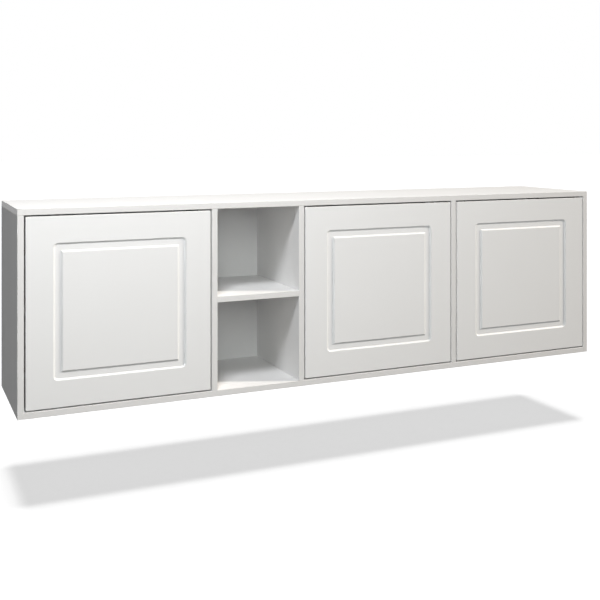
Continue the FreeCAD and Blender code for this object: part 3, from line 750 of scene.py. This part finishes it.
def camTemplate():
    # face looking up along Z, arrow pointing along X
    radius, cut, depth = cam.radius, cam.chamfer, cam.depth
    profile = cam.faceRing + ((radius - cut, 0), (radius, -cut), (radius, cut - depth),
                              (radius - cut, -depth), (0, -depth))
    body = addLathe(bmesh.new(), profile, sides=40)
    body = cutAway(body, slab(crossOutline(cam.slotReach, cam.slot), -cam.slotDepth, past, 2))
    tip, half = radius - cam.arrowEdge, cam.arrowHalf
    arrow = [(tip, 0), (tip - cam.arrow, half), (tip - cam.arrow, -half)]
    body = cutAway(body, slab(arrow, -cam.arrowDepth, past, 2))
    start = (cam.throatStart, 0, -cam.throatDepth)
    return keepMesh(drillOut(body, [(start, (1, 0, 0), cam.throat, cam.throatLength)]))


def makeCams():
    places = []
    for low, high, near, way, length in camJoints():
        centre = (low + high) / 2
        axis = thinAxis(low, high)
        out = unit(axis, 1 if near[axis] < centre[axis] else -1)
        face = centre + out * ((high - low)[axis] / 2 - cam.sink)
        turn = Matrix((way, out.cross(way), out)).transposed().to_4x4()
        places.append(Matrix.Translation(face) @ turn)
    placeCopies("cams", "faced", camTemplate(), places, "zinc_alloy", nodes=["cam_locks"])
    return len(places)


makeDowels()
makeCamPins()
print("cams made:", makeCams())


# loose shelves' pins: stem in the board, collar on its face

# profiles are (radius, distance) from the end in the board, and from the other end
shelfPin = inMetres({
    "radius": 2.5, "collar": 4,
    "profile": ((0, 0), (2, 0), (2.5, 0.5), (2.5, 7), (3.7, 7),
                (4, 7.3), (4, 8.2), (3.7, 8.5), (2.5, 8.5)),
    "endProfile": ((2.5, -0.9), (2.25, -0.35), (1.6, 0), (0, 0)),
})


def makeShelfPins():
    bm = bmesh.new()
    uprights = [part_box(node) for node in bandedSides if "side" in node or "divider" in node]
    for low, high in pinSolids:
        length = high[0] - low[0]
        z = low[2] + shelfPin.collar
        inner = -1 if any(meets(low, high, a, b, -past) and b[0] > high[0] for a, b in uprights) else 1
        start = ((low if inner > 0 else high)[0], (low[1] + high[1]) / 2, z)
        end = tuple((radius, length + step) for radius, step in shelfPin.endProfile)
        part = addLathe(bmesh.new(), shelfPin.profile + end, start, (inner, 0, 0))
        for vert in part.verts:
            vert.co[2] = min(vert.co[2], z + shelfPin.radius)
        mergeInto(bm, part)
    finishPiece("shelf_pins", "turned", bm, "nickel_steel")


makeShelfPins()
print("shelf pins made:", len(pinSolids))


# cup hinges, drawn from the door's hinge edge, its front, and the hinge's height

hinge = inMetres({
    "cupCentre": 22, "cupRadius": 17.5, "cupDepth": 12, "cupWall": 0.8, "cupFloorRound": 1.8,
    "cupMouth": 0.35, "cupSeat": 17, "flangeRadius": 19, "flange": 1, "flangeRim": 0.3,
    "cupInnerBow": ((0, 1.8), (0.3, 1.25), (1, 0.8)),
    "earAt": 31.5, "earHalf": 6, "earReach": 22.5, "earRim": 0.22, "earPlay": 0.03, "earRoot": 0.5,
    "earLeast": 2, "screwHole": 2, "pivotRadius": 1.25, "pivotHole": 1.3, "drillReach": 20,
    "cupPivot": (11, 8), "armPivot": (20, 26), "innerArmPivot": (41, 20.5),
    "innerCupEnd": (15.1, 9.8), "cupPin": (4.95, 12.5),
    "eye": 2.3, "outerBend": 15.2, "outerHalf": 1, "outerPlate": (5, 6.5), "outerRounds": (2.2, 3),
    "outerRim": 0.15, "innerHalf": 1.6, "innerWidth": 4, "innerRim": 0.35,
    "armInside": 7.2, "armOutside": 8.4, "armBend": 1.1, "armTop": 9.6, "armFolded": (31, 96.5),
    "armEar": ((17.4, 26), (20, 23.4), (41, 17.9), (43.6, 20.5), (43.6, 23.1), (36.5, 32),
               (9.6, 47), (9.6, 97), (0.5, 97), (0.5, 47), (14, 33)),
    "armEarRounds": (2.2, 2.2, 2.2, 2.2, 1.2, 0.8, 6, 0.6, 0.6, 3, 3),
    "armRoom": ((8.4, 99), (8.4, 46.4), (35.9, 30.8), (38, 35), (60, 35), (60, 0),
                (-10, 0), (-10, 99)),
    "armRoomRounds": (0.1, 4.8, 0.2, 0.2, 0.2, 0.2, 0.2, 0.2),
    "armScrews": (60, 84), "armScrewLength": 11.6,
    "rivetDome": 0.35, "rivetHead": 0.45, "rivetChamfer": 0.2,
    # screw holes, as (start, length)
    "earHole": (15, 3), "armHole": (5, 8), "wingHole": (-6, 8), "blockHole": (-3, 14),
    "plateFront": 50, "plateEnd": 94, "plateTop": 8.2, "plateFoot": -4, "plateHalf": 7,
    "plateRound": 0.9, "plateInset": 0.02, "wingTop": -1.7, "wingEnd": 62, "wingHalf": 26,
    "wingCorner": 4.5, "wingRim": 0.4,
    "plateScrewAt": 56, "plateScrewHalf": 16, "plateScrewLength": 13.3, "cupScrewLength": 11,
})
# the outer links' bend round the cup's pivot, in degrees: start, end, and the arc spared for each corner
outerArc = {"start": -7, "end": 52, "startSpare": 13, "endSpare": 8}
# a riveted head, as shares of its radius and of its dome's height
rivetShares = ((1, 0), (0.8, 0.75), (0.4, 1))


def pivotHoles(*points):
    reach = hinge.drillReach
    return [((u, v, -reach), (0, 0, 1), hinge.pivotHole, 2 * reach) for u, v in points]


def screwHoles(name, spots):
    # holes across a hinge part, at the (v, w) spots given
    start, length = hinge[name]
    return [((start, v, w), (1, 0, 0), hinge.screwHole, length) for v, w in spots]


def cupTemplate():
    # drawn drum with a flange and two screw ears
    h = hinge
    r, wall, flange, soft = h.cupRadius, h.cupWall, h.flange, h.cupFloorRound
    deep, wide, rim, mouth = h.cupDepth + flange, h.flangeRadius, h.flangeRim, h.cupMouth
    profile = [(0, deep)] + arc((r - soft, deep - soft), soft, 90, 0, 3)
    profile += [(r, flange), (wide, flange), (wide, rim), (wide - rim, 0),
                (r - wall + mouth, 0), (r - wall, mouth)]
    profile += [(r - wall - inset, deep - rise) for inset, rise in h.cupInnerBow] + [(0, deep - wall)]
    body = addLathe(bmesh.new(), profile, (h.cupCentre, h.cupSeat, 0), (0, -1, 0), sides=56)
    ears = bmesh.new()
    holes = pivotHoles(h.cupPivot)
    at, reach, half = h.earAt, h.earReach, h.earHalf
    # an ear's root follows the drum's wall
    ear = []
    for i in range(9):
        u = at + half * (i / 4 - 1)
        squared = (r + h.earRoot) ** 2 - (u - h.cupCentre) ** 2
        ear.append((u, math.sqrt(max(squared, h.earLeast ** 2))))
    ear += arc((at, reach), half, 0, 180, 12)
    back = h.cupSeat - h.earPlay
    start, length = h.earHole
    for side in (-1, 1):
        outline = [(u, side * w) for u, w in ear]
        mergeInto(ears, slab(outline, back - flange + 2 * h.earPlay, back, 1, h.earRim))
        holes.append(((at, start, side * reach), (0, 1, 0), h.screwHole, length))
    return keepMesh(drillOut(cutAway(body, ears, "UNION"), holes))


def linkOutline(path, half, startEye, endEye, steps=16, leastMitre=0.5):
    # outline of a flat link: a bar along the path and a round eye at each end
    points = [Vector(p) for p in path]
    left, right = [], []
    for before, point, after in zip(points, points[1:], points[2:]):
        a, b = (point - before).normalized(), (after - point).normalized()
        way = (a + b).normalized()
        side = Vector((-way[1], way[0])) * half / max(way.dot(b), leastMitre)
        left.append(point + side)
        right.append(point - side)
    eyes = []
    for centre, near, radius in ((points[-1], points[-2], endEye), (points[0], points[1], startEye)):
        back = near - centre
        turn = math.degrees(math.atan2(back[1], back[0]))
        gap = math.degrees(math.asin(min(1, half / radius)))
        eyes.append(arc(centre, radius, turn - gap, turn + gap - 360, steps))
    return left + eyes[0] + right[::-1] + eyes[1]


def outerLinkTemplate():
    # a pair of thin curved plates
    h, b = hinge, outerArc
    centre, armPivot = Vector(h.cupPivot), Vector(h.armPivot)
    bend = arc(centre, h.outerBend, b["start"] + b["startSpare"], b["end"] - b["endSpare"], 8)
    start, end = (centre + onCircle(b[name]) * h.outerBend for name in ("start", "end"))
    startRound, endRound = h.outerRounds
    path = [centre] + softCorner(centre, start, bend[0], startRound, 5) + bend
    path += softCorner(bend[-1], end, armPivot, endRound, 3) + [armPivot]
    outline = linkOutline(path, h.outerHalf, h.eye, h.eye)
    near, far = h.outerPlate
    plates = slab(outline, near, far, 2, h.outerRim, 1)
    mergeInto(plates, slab(outline, -far, -near, 2, h.outerRim, 1))
    return keepMesh(drillOut(plates, pivotHoles(h.cupPivot, h.armPivot)))


def innerLinkTemplate():
    h = hinge
    outline = linkOutline([h.innerArmPivot, h.innerCupEnd], h.innerHalf, h.eye, h.innerHalf)
    body = slab(outline, -h.innerWidth, h.innerWidth, 2, h.innerRim)
    return keepMesh(drillOut(body, pivotHoles(h.innerArmPivot)))


def armTemplate():
    # folded sheet: two ears with pivot holes and a web that carries the screws
    h = hinge
    outside, inside = h.armOutside, h.armInside
    body = slab(softOutline(h.armEar, h.armEarRounds), -outside, outside, 2)
    folds = []
    first, last = h.armFolded
    for edge in body.edges:
        flat = all(abs(abs(v.co[2]) - outside) < samePoint for v in edge.verts)
        middle = (edge.verts[0].co + edge.verts[1].co) / 2
        if flat and middle[0] > h.armTop - touch and first < middle[1] < last:
            folds.append(edge)
    roundEdges(body, folds, h.armBend, 3)
    body = cutAway(body, slab(softOutline(h.armRoom, h.armRoomRounds), -inside, inside, 2))
    holes = pivotHoles(h.armPivot, h.innerArmPivot)
    holes += screwHoles("armHole", [(v, 0) for v in h.armScrews])
    return keepMesh(drillOut(body, holes))


def mountTemplate():
    # cast plate: a block under the arm and two wings on the side panel
    h = hinge
    foot, front, inset = h.plateFoot, h.plateFront, h.plateInset
    wing = softOutline(oblong(front, -h.wingHalf, h.wingEnd, h.wingHalf), h.wingCorner, 5)
    body = slab(wing, foot, h.wingTop, 0, h.wingRim)
    middle = softBlock((foot + inset, front + inset, -h.plateHalf),
                       (h.plateTop, h.plateEnd, h.plateHalf), h.plateRound)
    body = cutAway(body, middle, "UNION")
    holes = screwHoles("wingHole", [(h.plateScrewAt, side * h.plateScrewHalf) for side in (-1, 1)])
    holes += screwHoles("blockHole", [(v, 0) for v in h.armScrews])
    return keepMesh(drillOut(body, holes))


def rivetTemplate(reach, dome=0):
    # pivot pin along Z, with a low domed head at each end where it has one
    r, cut = hinge.pivotRadius, hinge.rivetChamfer
    top = [(r, reach - cut), (r - cut, reach), (0, reach)]
    if dome:
        head = r + hinge.rivetHead
        top = [(r, reach)] + [(head * a, reach + dome * b) for a, b in rivetShares] + [(0, reach + dome)]
    return keepMesh(addLathe(bmesh.new(), [(a, -b) for a, b in reversed(top)] + top, sides=24))


def hingePlaces(number):
    low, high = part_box("door_%d" % number)
    side = hingeSides[number]
    edgeX = (low if side < 0 else high)[0]
    return [Matrix.Translation((edgeX, low[1], (a[2] + b[2]) / 2)) @ Matrix.Diagonal((-side, 1, 1, 1))
            for a, b in solidsOf("hinge_cups_%d" % number)]


def within(places, points, out=(0, 0, 1)):
    # the same local points inside each hinge
    return [place @ facing(point, out) for place in places for point in points]


def makeHinges():
    h = hinge
    near, far = h.cupPin
    cup, outer, inner = cupTemplate(), outerLinkTemplate(), innerLinkTemplate()
    cupPin, cupScrew = rivetTemplate((far - near) / 2), screwTemplate("board", h.cupScrewLength)
    everyPlace = []
    for number in doorNumbers:
        places = hingePlaces(number)
        everyPlace += places
        pins = within(places, [h.cupPivot + (side * (near + far) / 2,) for side in (1, -1)])
        screws = within(places, [(h.earAt, h.cupSeat, side * h.earReach) for side in (-1, 1)], (0, 1, 0))
        for part, ending, template, spots, slotName, body in (
                ("cups", "pressed", cup, places, "nickel_steel", "door"),
                ("cup_pins", "turned", cupPin, pins, "bright_steel", "door"),
                ("cup_screws", "threaded", cupScrew, screws, "bright_steel", "door"),
                ("outer_links", "stamped", outer, places, "nickel_steel", "outer_links"),
                ("inner_links", "stamped", inner, places, "nickel_steel", "inner_links")):
            placeCopies("hinge_%s_%d" % (part, number), ending, template, spots, slotName,
                        "%s_%d" % (body, number))
    pins = within(everyPlace, [h.armPivot + (0,), h.innerArmPivot + (0,)])
    armScrews = within(everyPlace, [(h.armTop, v, 0) for v in h.armScrews], (1, 0, 0))
    plateSeats = [(h.wingTop, h.plateScrewAt, side * h.plateScrewHalf) for side in (-1, 1)]
    plateScrews = within(everyPlace, plateSeats, (1, 0, 0))
    for part, ending, template, spots, slotName in (
            ("arms", "folded", armTemplate(), everyPlace, "nickel_steel"),
            ("plates", "cast", mountTemplate(), everyPlace, "nickel_steel"),
            ("arm_pins", "riveted", rivetTemplate(h.armOutside, h.rivetDome), pins, "bright_steel"),
            ("arm_screws", "threaded", screwTemplate("board", h.armScrewLength, False), armScrews,
             "bright_steel"),
            ("plate_screws", "threaded", screwTemplate("board", h.plateScrewLength), plateScrews,
             "bright_steel")):
        placeCopies("hinge_" + part, ending, template, spots, slotName)
    return len(everyPlace)


print("hinges made:", makeHinges())


# touch latches: housing under the top panel, plunger, strike plate on the door

latch = inMetres({
    "halfWidth": 8, "length": 60, "height": 16, "edgeRound": 1, "play": 0.02,
    "wingHalf": 17, "wingStart": 15, "wingEnd": 45, "wing": 2, "wingCorner": 3.5, "wingRim": 0.3,
    "bore": 3.58, "boreDepth": 38, "boreDrop": 10,
    "screwHalf": 12, "screwAt": 30, "screwHole": 2, "screwLength": 13,
    "screwHoleStart": -4, "screwHoleLength": 6,
    "gripStart": 4, "gripStep": 3.2, "gripWidth": 1.4, "gripDepth": 0.5, "gripMargin": 3,
})
grips = 4
# profiles are (radius, distance), the plunger's body from its tip to its end
plungerTip = inMetres(((0, 0), (1.5, 0.08), (2.6, 0.45), (3.2, 1.1), (3.5, 2), (3.5, 3), (3.25, 3.1)))
plungerBody = inMetres(((3.25, 3.1), (3.25, 3.5), (3.5, 3.7)))
plunger = inMetres({"radius": 3.5, "chamfer": 0.5})
strike = inMetres({"thickness": 1, "screwLength": 10,
                   "profile": ((2.1, 0), (6.4, 0), (6.5, 0.1), (6.5, 0.7), (6.2, 1), (3.1, 1))})


def latchTemplate():
    # origin at the middle of the front, on the underside of the top panel
    d = latch
    half, margin = d.halfWidth, d.gripMargin
    body = softBlock((-half, 0, -d.height), (half, d.length, -d.play), d.edgeRound)
    wing = oblong(-d.wingHalf, d.wingStart, d.wingHalf, d.wingEnd)
    wing = slab(softOutline(wing, d.wingCorner, 5), -d.wing, 0, 2, d.wingRim)
    body = cutAway(body, wing, "UNION")
    tools = bmesh.new()
    addRod(tools, (0, -past, -d.boreDrop), (0, 1, 0), d.bore, d.boreDepth + past, 32)
    for side in (-1, 1):
        start = (side * d.screwHalf, d.screwAt, d.screwHoleStart)
        addRod(tools, start, (0, 0, 1), d.screwHole, d.screwHoleLength)
        for i in range(grips):
            y = d.length - d.gripStart - i * d.gripStep
            left, right = sorted((side * (half - d.gripDepth), side * (half + past)))
            addBlock(tools, (left, y - d.gripWidth / 2, margin - d.height),
                     (right, y + d.gripWidth / 2, -margin))
    return keepMesh(cutAway(body, tools))


def makeLatches():
    d = latch
    places, screwPlaces = [], []
    for low, high in solidsOf("latch_housings"):
        front = Vector(((low[0] + high[0]) / 2, low[1], high[2]))
        places.append(Matrix.Translation(front))
        for side in (-1, 1):
            seat = front + Vector((side * d.screwHalf, d.screwAt, -d.wing))
            screwPlaces.append(facing(seat, (0, 0, -1), turn=30))
    placeCopies("latch_housings", "moulded", latchTemplate(), places, "grey_plastic")
    screw = screwTemplate("board", d.screwLength)
    placeCopies("latch_screws", "threaded", screw, screwPlaces, "bright_steel")
    strikeScrew = screwTemplate("strike", strike.screwLength)
    for number in doorNumbers:
        node = "latch_plunger_%d" % number
        (start, along, length), = rodsOf(node)
        r, cut = plunger.radius, plunger.chamfer
        end = ((r, length - cut), (r - cut, length), (0, length))
        bm = addLathe(bmesh.new(), plungerTip, start, along, sides=32, paint=1)
        addLathe(bm, plungerBody + end, start, along, sides=32)
        bmesh.ops.remove_doubles(bm, verts=bm.verts, dist=samePoint)
        finishPiece(node, "capped", bm, "grey_plastic", "plunger_%d" % number,
                    looksUsed=["greyPlastic", "softRubber"])
        low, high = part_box("strike_plate_%d" % number)
        seat = (low + high) / 2
        seat[1] = low[1]
        plate = addLathe(bmesh.new(), strike.profile, seat, (0, 1, 0), sides=48, closed=True)
        body = "door_%d" % number
        finishPiece("strike_plate_%d" % number, "turned", plate, "bright_steel", body)
        place = facing(seat + unit(1, strike.thickness), (0, 1, 0), turn=20)
        placeCopies("strike_screw_%d" % number, "threaded", strikeScrew, [place], "bright_steel", body)
    return len(places)


print("latches made:", makeLatches())


# wall rail, hangers and their screws

rail = inMetres({"metal": 2, "shelf": 6, "edge": 0.35, "bend": 2.6, "innerBend": 0.6, "holeRadius": 4,
                 "holes": (-720, -240, 240, 720)})
hanger = inMetres({
    "wall": 1.5, "bend": 1.4,
    "adjusterDrops": (12, 32), "adjusterLengths": (5, 32), "adjusterHole": 3.1,
    "fixingDrops": (34, 52), "fixingHole": 2, "fixingLength": 12.5,
    "hookHeight": 6, "hookClaw": 2.5, "hookRounds": (1.2, 1.2, 2.4, 0.7, 0.7, 0.8), "hookRim": 0.3,
})


def makeRail():
    low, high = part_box("wall_rail")
    metal, shelf, edge, bend, inner = rail.metal, rail.shelf, rail.edge, rail.bend, rail.innerBend
    front, back = low[1], high[1]
    section = [(back, low[2]), (back, shelf), (front + metal, shelf), (front + metal, high[2]),
               (front, high[2]), (front, shelf - metal), (back - metal, shelf - metal),
               (back - metal, low[2])]
    outline = softOutline(section, (edge, bend, inner, edge) * 2, 5)
    start, through = back - metal - past, metal + 2 * past
    holes = [((x, start, 0), (0, 1, 0), rail.holeRadius, through, 40) for x in rail.holes]
    finishPiece("wall_rail", "folded", drillOut(slab(outline, low[0], high[0], 0), holes), "galvanised_steel")


def makeHangers():
    d = hanger
    wall = d.wall
    housings, hooks, adjusters = bmesh.new(), bmesh.new(), bmesh.new()
    adjusterPlaces, fixingPlaces = ([], []), []
    fixings = solidsOf("hanger_fixings")
    for low, high in solidsOf("hanger_housings"):
        x, y, z = (low[0] + high[0]) / 2, (low[1] + high[1]) / 2, high[2]
        shell = block(low, high)
        folds = [e for e in shell.edges if min(v.co[1] for v in e.verts) < low[1] + samePoint]
        roundEdges(shell, folds, d.bend, 3)
        room = block(low + Vector((wall, wall, wall)), (high[0] - wall, high[1] + past, high[2] - wall))
        shell = cutAway(shell, room)
        holes = []
        through = wall + 2 * past
        for places, drop in zip(adjusterPlaces, d.adjusterDrops):
            holes.append(((x, low[1] - past, z - drop), (0, 1, 0), d.adjusterHole, through, 28))
            places.append(facing((x, low[1], z - drop), (0, -1, 0), turn=25))
        side = -1 if any(a[0] < low[0] - past and meets(a, b, low, high) for a, b in fixings) else 1
        face = (low if side < 0 else high)[0]
        for drop in d.fixingDrops:
            holes.append(((face + side * past, y, z - drop), (-side, 0, 0), d.fixingHole, through))
            fixingPlaces.append(facing((face - side * wall, y, z - drop), (-side, 0, 0), turn=15))
        mergeInto(housings, drillOut(shell, holes))
    for low, high in solidsOf("hanger_hooks"):
        under, claw = high[2] - d.hookHeight, high[1] - d.hookClaw
        section = [(low[1], under), (low[1], high[2]), (high[1], high[2]), (high[1], low[2]),
                   (claw, low[2]), (claw, under)]
        mergeInto(hooks, slab(softOutline(section, d.hookRounds), low[0], high[0], 0, d.hookRim))
    for length, places in zip(d.adjusterLengths, adjusterPlaces):
        addCopies(adjusters, screwTemplate("adjuster", length, False), places)
    finishPiece("hanger_housings", "folded", housings, "galvanised_steel")
    finishPiece("hanger_hooks", "stamped", hooks, "galvanised_steel")
    finishPiece("hanger_adjusters", "threaded", adjusters, "bright_steel")
    fixing = screwTemplate("board", d.fixingLength)
    placeCopies("hanger_fixings", "threaded", fixing, fixingPlaces, "bright_steel")
    return len(adjusterPlaces[0])


makeRail()
print("hangers made:", makeHangers())


# camera, floor and light

view = {"place": (-1.1997, -2.737, 0.2308), "angles": (90, 0, -24.08),
        "lens": {"lens": 55.692, "sensor_width": 36, "shift_y": -0.2757, "clip_end": 60}}
room = {
    "floorHeight": -0.704, "floorSize": 60,
    "floorSeen": (0.5, 0.5, 0.5, 1), "floorBounce": (0.18, 0.18, 0.18, 1),
    "floorGlow": 0.665, "worldLight": 0.015, "worldTint": (0.97, 0.985, 1, 1), "white": (1, 1, 1, 1),
}
# one soft lamp high at the left, one from the right, a broad fill in front, and one over the top
# panel, each with its place, the point it looks at, size, power and tint
lamps = {
    "softHigh": ((-1, -1.45, 1.5), (-0.2, -0.3, -0.1), (0.5, 0.5), 31.5, (0.95, 0.97, 1)),
    "fromRight": ((9.5, -4.05, 5.9), (-0.1, -0.3, -0.2), (1, 1), 1200, (1, 0.92, 0.82)),
    "frontFill": ((-0.9, -3, 0.9), (-0.2, 0, -0.2), (1.6, 1.2), 24, (0.95, 1, 0.99)),
    "topFill": ((0.1, -0.1, 2.2), (0.1, -0.1, 0), (2.4, 0.4), 9, (0.9, 0.96, 1)),
}
# straight down on the floor alone, for the shadow
overhead = {"strength": 3.2, "angle": 18}


def startNodes(owner):
    owner.use_nodes = True
    owner.node_tree.nodes.clear()


def rayLevel(mat, *kinds):
    # one for the kinds of ray named, zero for others
    path = addNode(mat, "LightPath").outputs
    level = path["Is %s Ray" % kinds[0]]
    for kind in kinds[1:]:
        inputs = {0: level, 1: path["Is %s Ray" % kind]}
        level = addNode(mat, "Math", "Value", inputs, operation="MAXIMUM")
    return level


def makeCamera():
    camera = addThing("camera", bpy.data.cameras.new("camera"))
    camera.location = view["place"]
    camera.rotation_euler = [math.radians(angle) for angle in view["angles"]]
    for key, value in view["lens"].items():
        setattr(camera.data, key, value)
    bpy.context.scene.camera = camera


def makeFloor():
    bm = bmesh.new()
    half = room["floorSize"] / 2
    bm.faces.new([bm.verts.new((x, y, room["floorHeight"])) for x, y in oblong(-half, -half, half, half)])
    floor = addThing("floor", keepMesh(bm, "floor"))
    # near white where it is seen, darker in what it throws back at the cabinet
    mat = bpy.data.materials.new("paleFloor")
    startNodes(mat)
    seen = rayLevel(mat, "Camera", "Glossy")
    inputs = {"Factor": seen, "A": room["floorBounce"], "B": room["floorSeen"]}
    colour = addNode(mat, "Mix", "Result", inputs, data_type="RGBA")
    level = addNode(mat, "Math", "Value", {0: seen, 1: room["floorGlow"]}, operation="MULTIPLY")
    paint = addNode(mat, "BsdfDiffuse", "BSDF", {"Color": colour})
    glow = addNode(mat, "Emission", "Emission", {"Strength": level})
    both = addNode(mat, "AddShader", "Shader", {0: paint, 1: glow})
    addNode(mat, "OutputMaterial", None, {"Surface": both})
    floor.data.materials.append(mat)
    return floor


def makeWorld():
    # white where it is seen or mirrored, a faint fill for the rest
    world = bpy.data.worlds.new("studio")
    bpy.context.scene.world = world
    startNodes(world)
    fill = {"Color": room["worldTint"], "Strength": room["worldLight"]}
    white = {"Color": room["white"], "Strength": 1}
    inputs = {0: rayLevel(world, "Camera", "Transmission", "Glossy"),
              1: addNode(world, "Background", "Background", fill),
              2: addNode(world, "Background", "Background", white)}
    addNode(world, "OutputWorld", None, {"Surface": addNode(world, "MixShader", "Shader", inputs)})


def makeLamps(floor):
    floorOnly = bpy.data.collections.new("floorOnly")
    allButFloor = bpy.data.collections.new("allButFloor")
    for group in (floorOnly, allButFloor):
        group.objects.link(floor)
    allButFloor.collection_objects[0].light_linking.link_state = "EXCLUDE"
    for name, (place, aim, size, power, tint) in lamps.items():
        data = bpy.data.lights.new(name, "AREA")
        data.shape = "RECTANGLE"
        data.size, data.size_y = size
        data.energy = power
        data.color = tint
        holder = addThing(name, data)
        holder.location = place
        holder.rotation_euler = (Vector(place) - Vector(aim)).to_track_quat("Z", "Y").to_euler()
        holder.light_linking.receiver_collection = allButFloor
    sun = bpy.data.lights.new("overFloor", "SUN")
    sun.energy = overhead["strength"]
    sun.angle = math.radians(overhead["angle"])
    addThing("overFloor", sun).light_linking.receiver_collection = floorOnly


makeCamera()
makeWorld()
makeLamps(makeFloor())
print("camera and light set")

bpy.context.scene.view_settings.view_transform = "Standard"
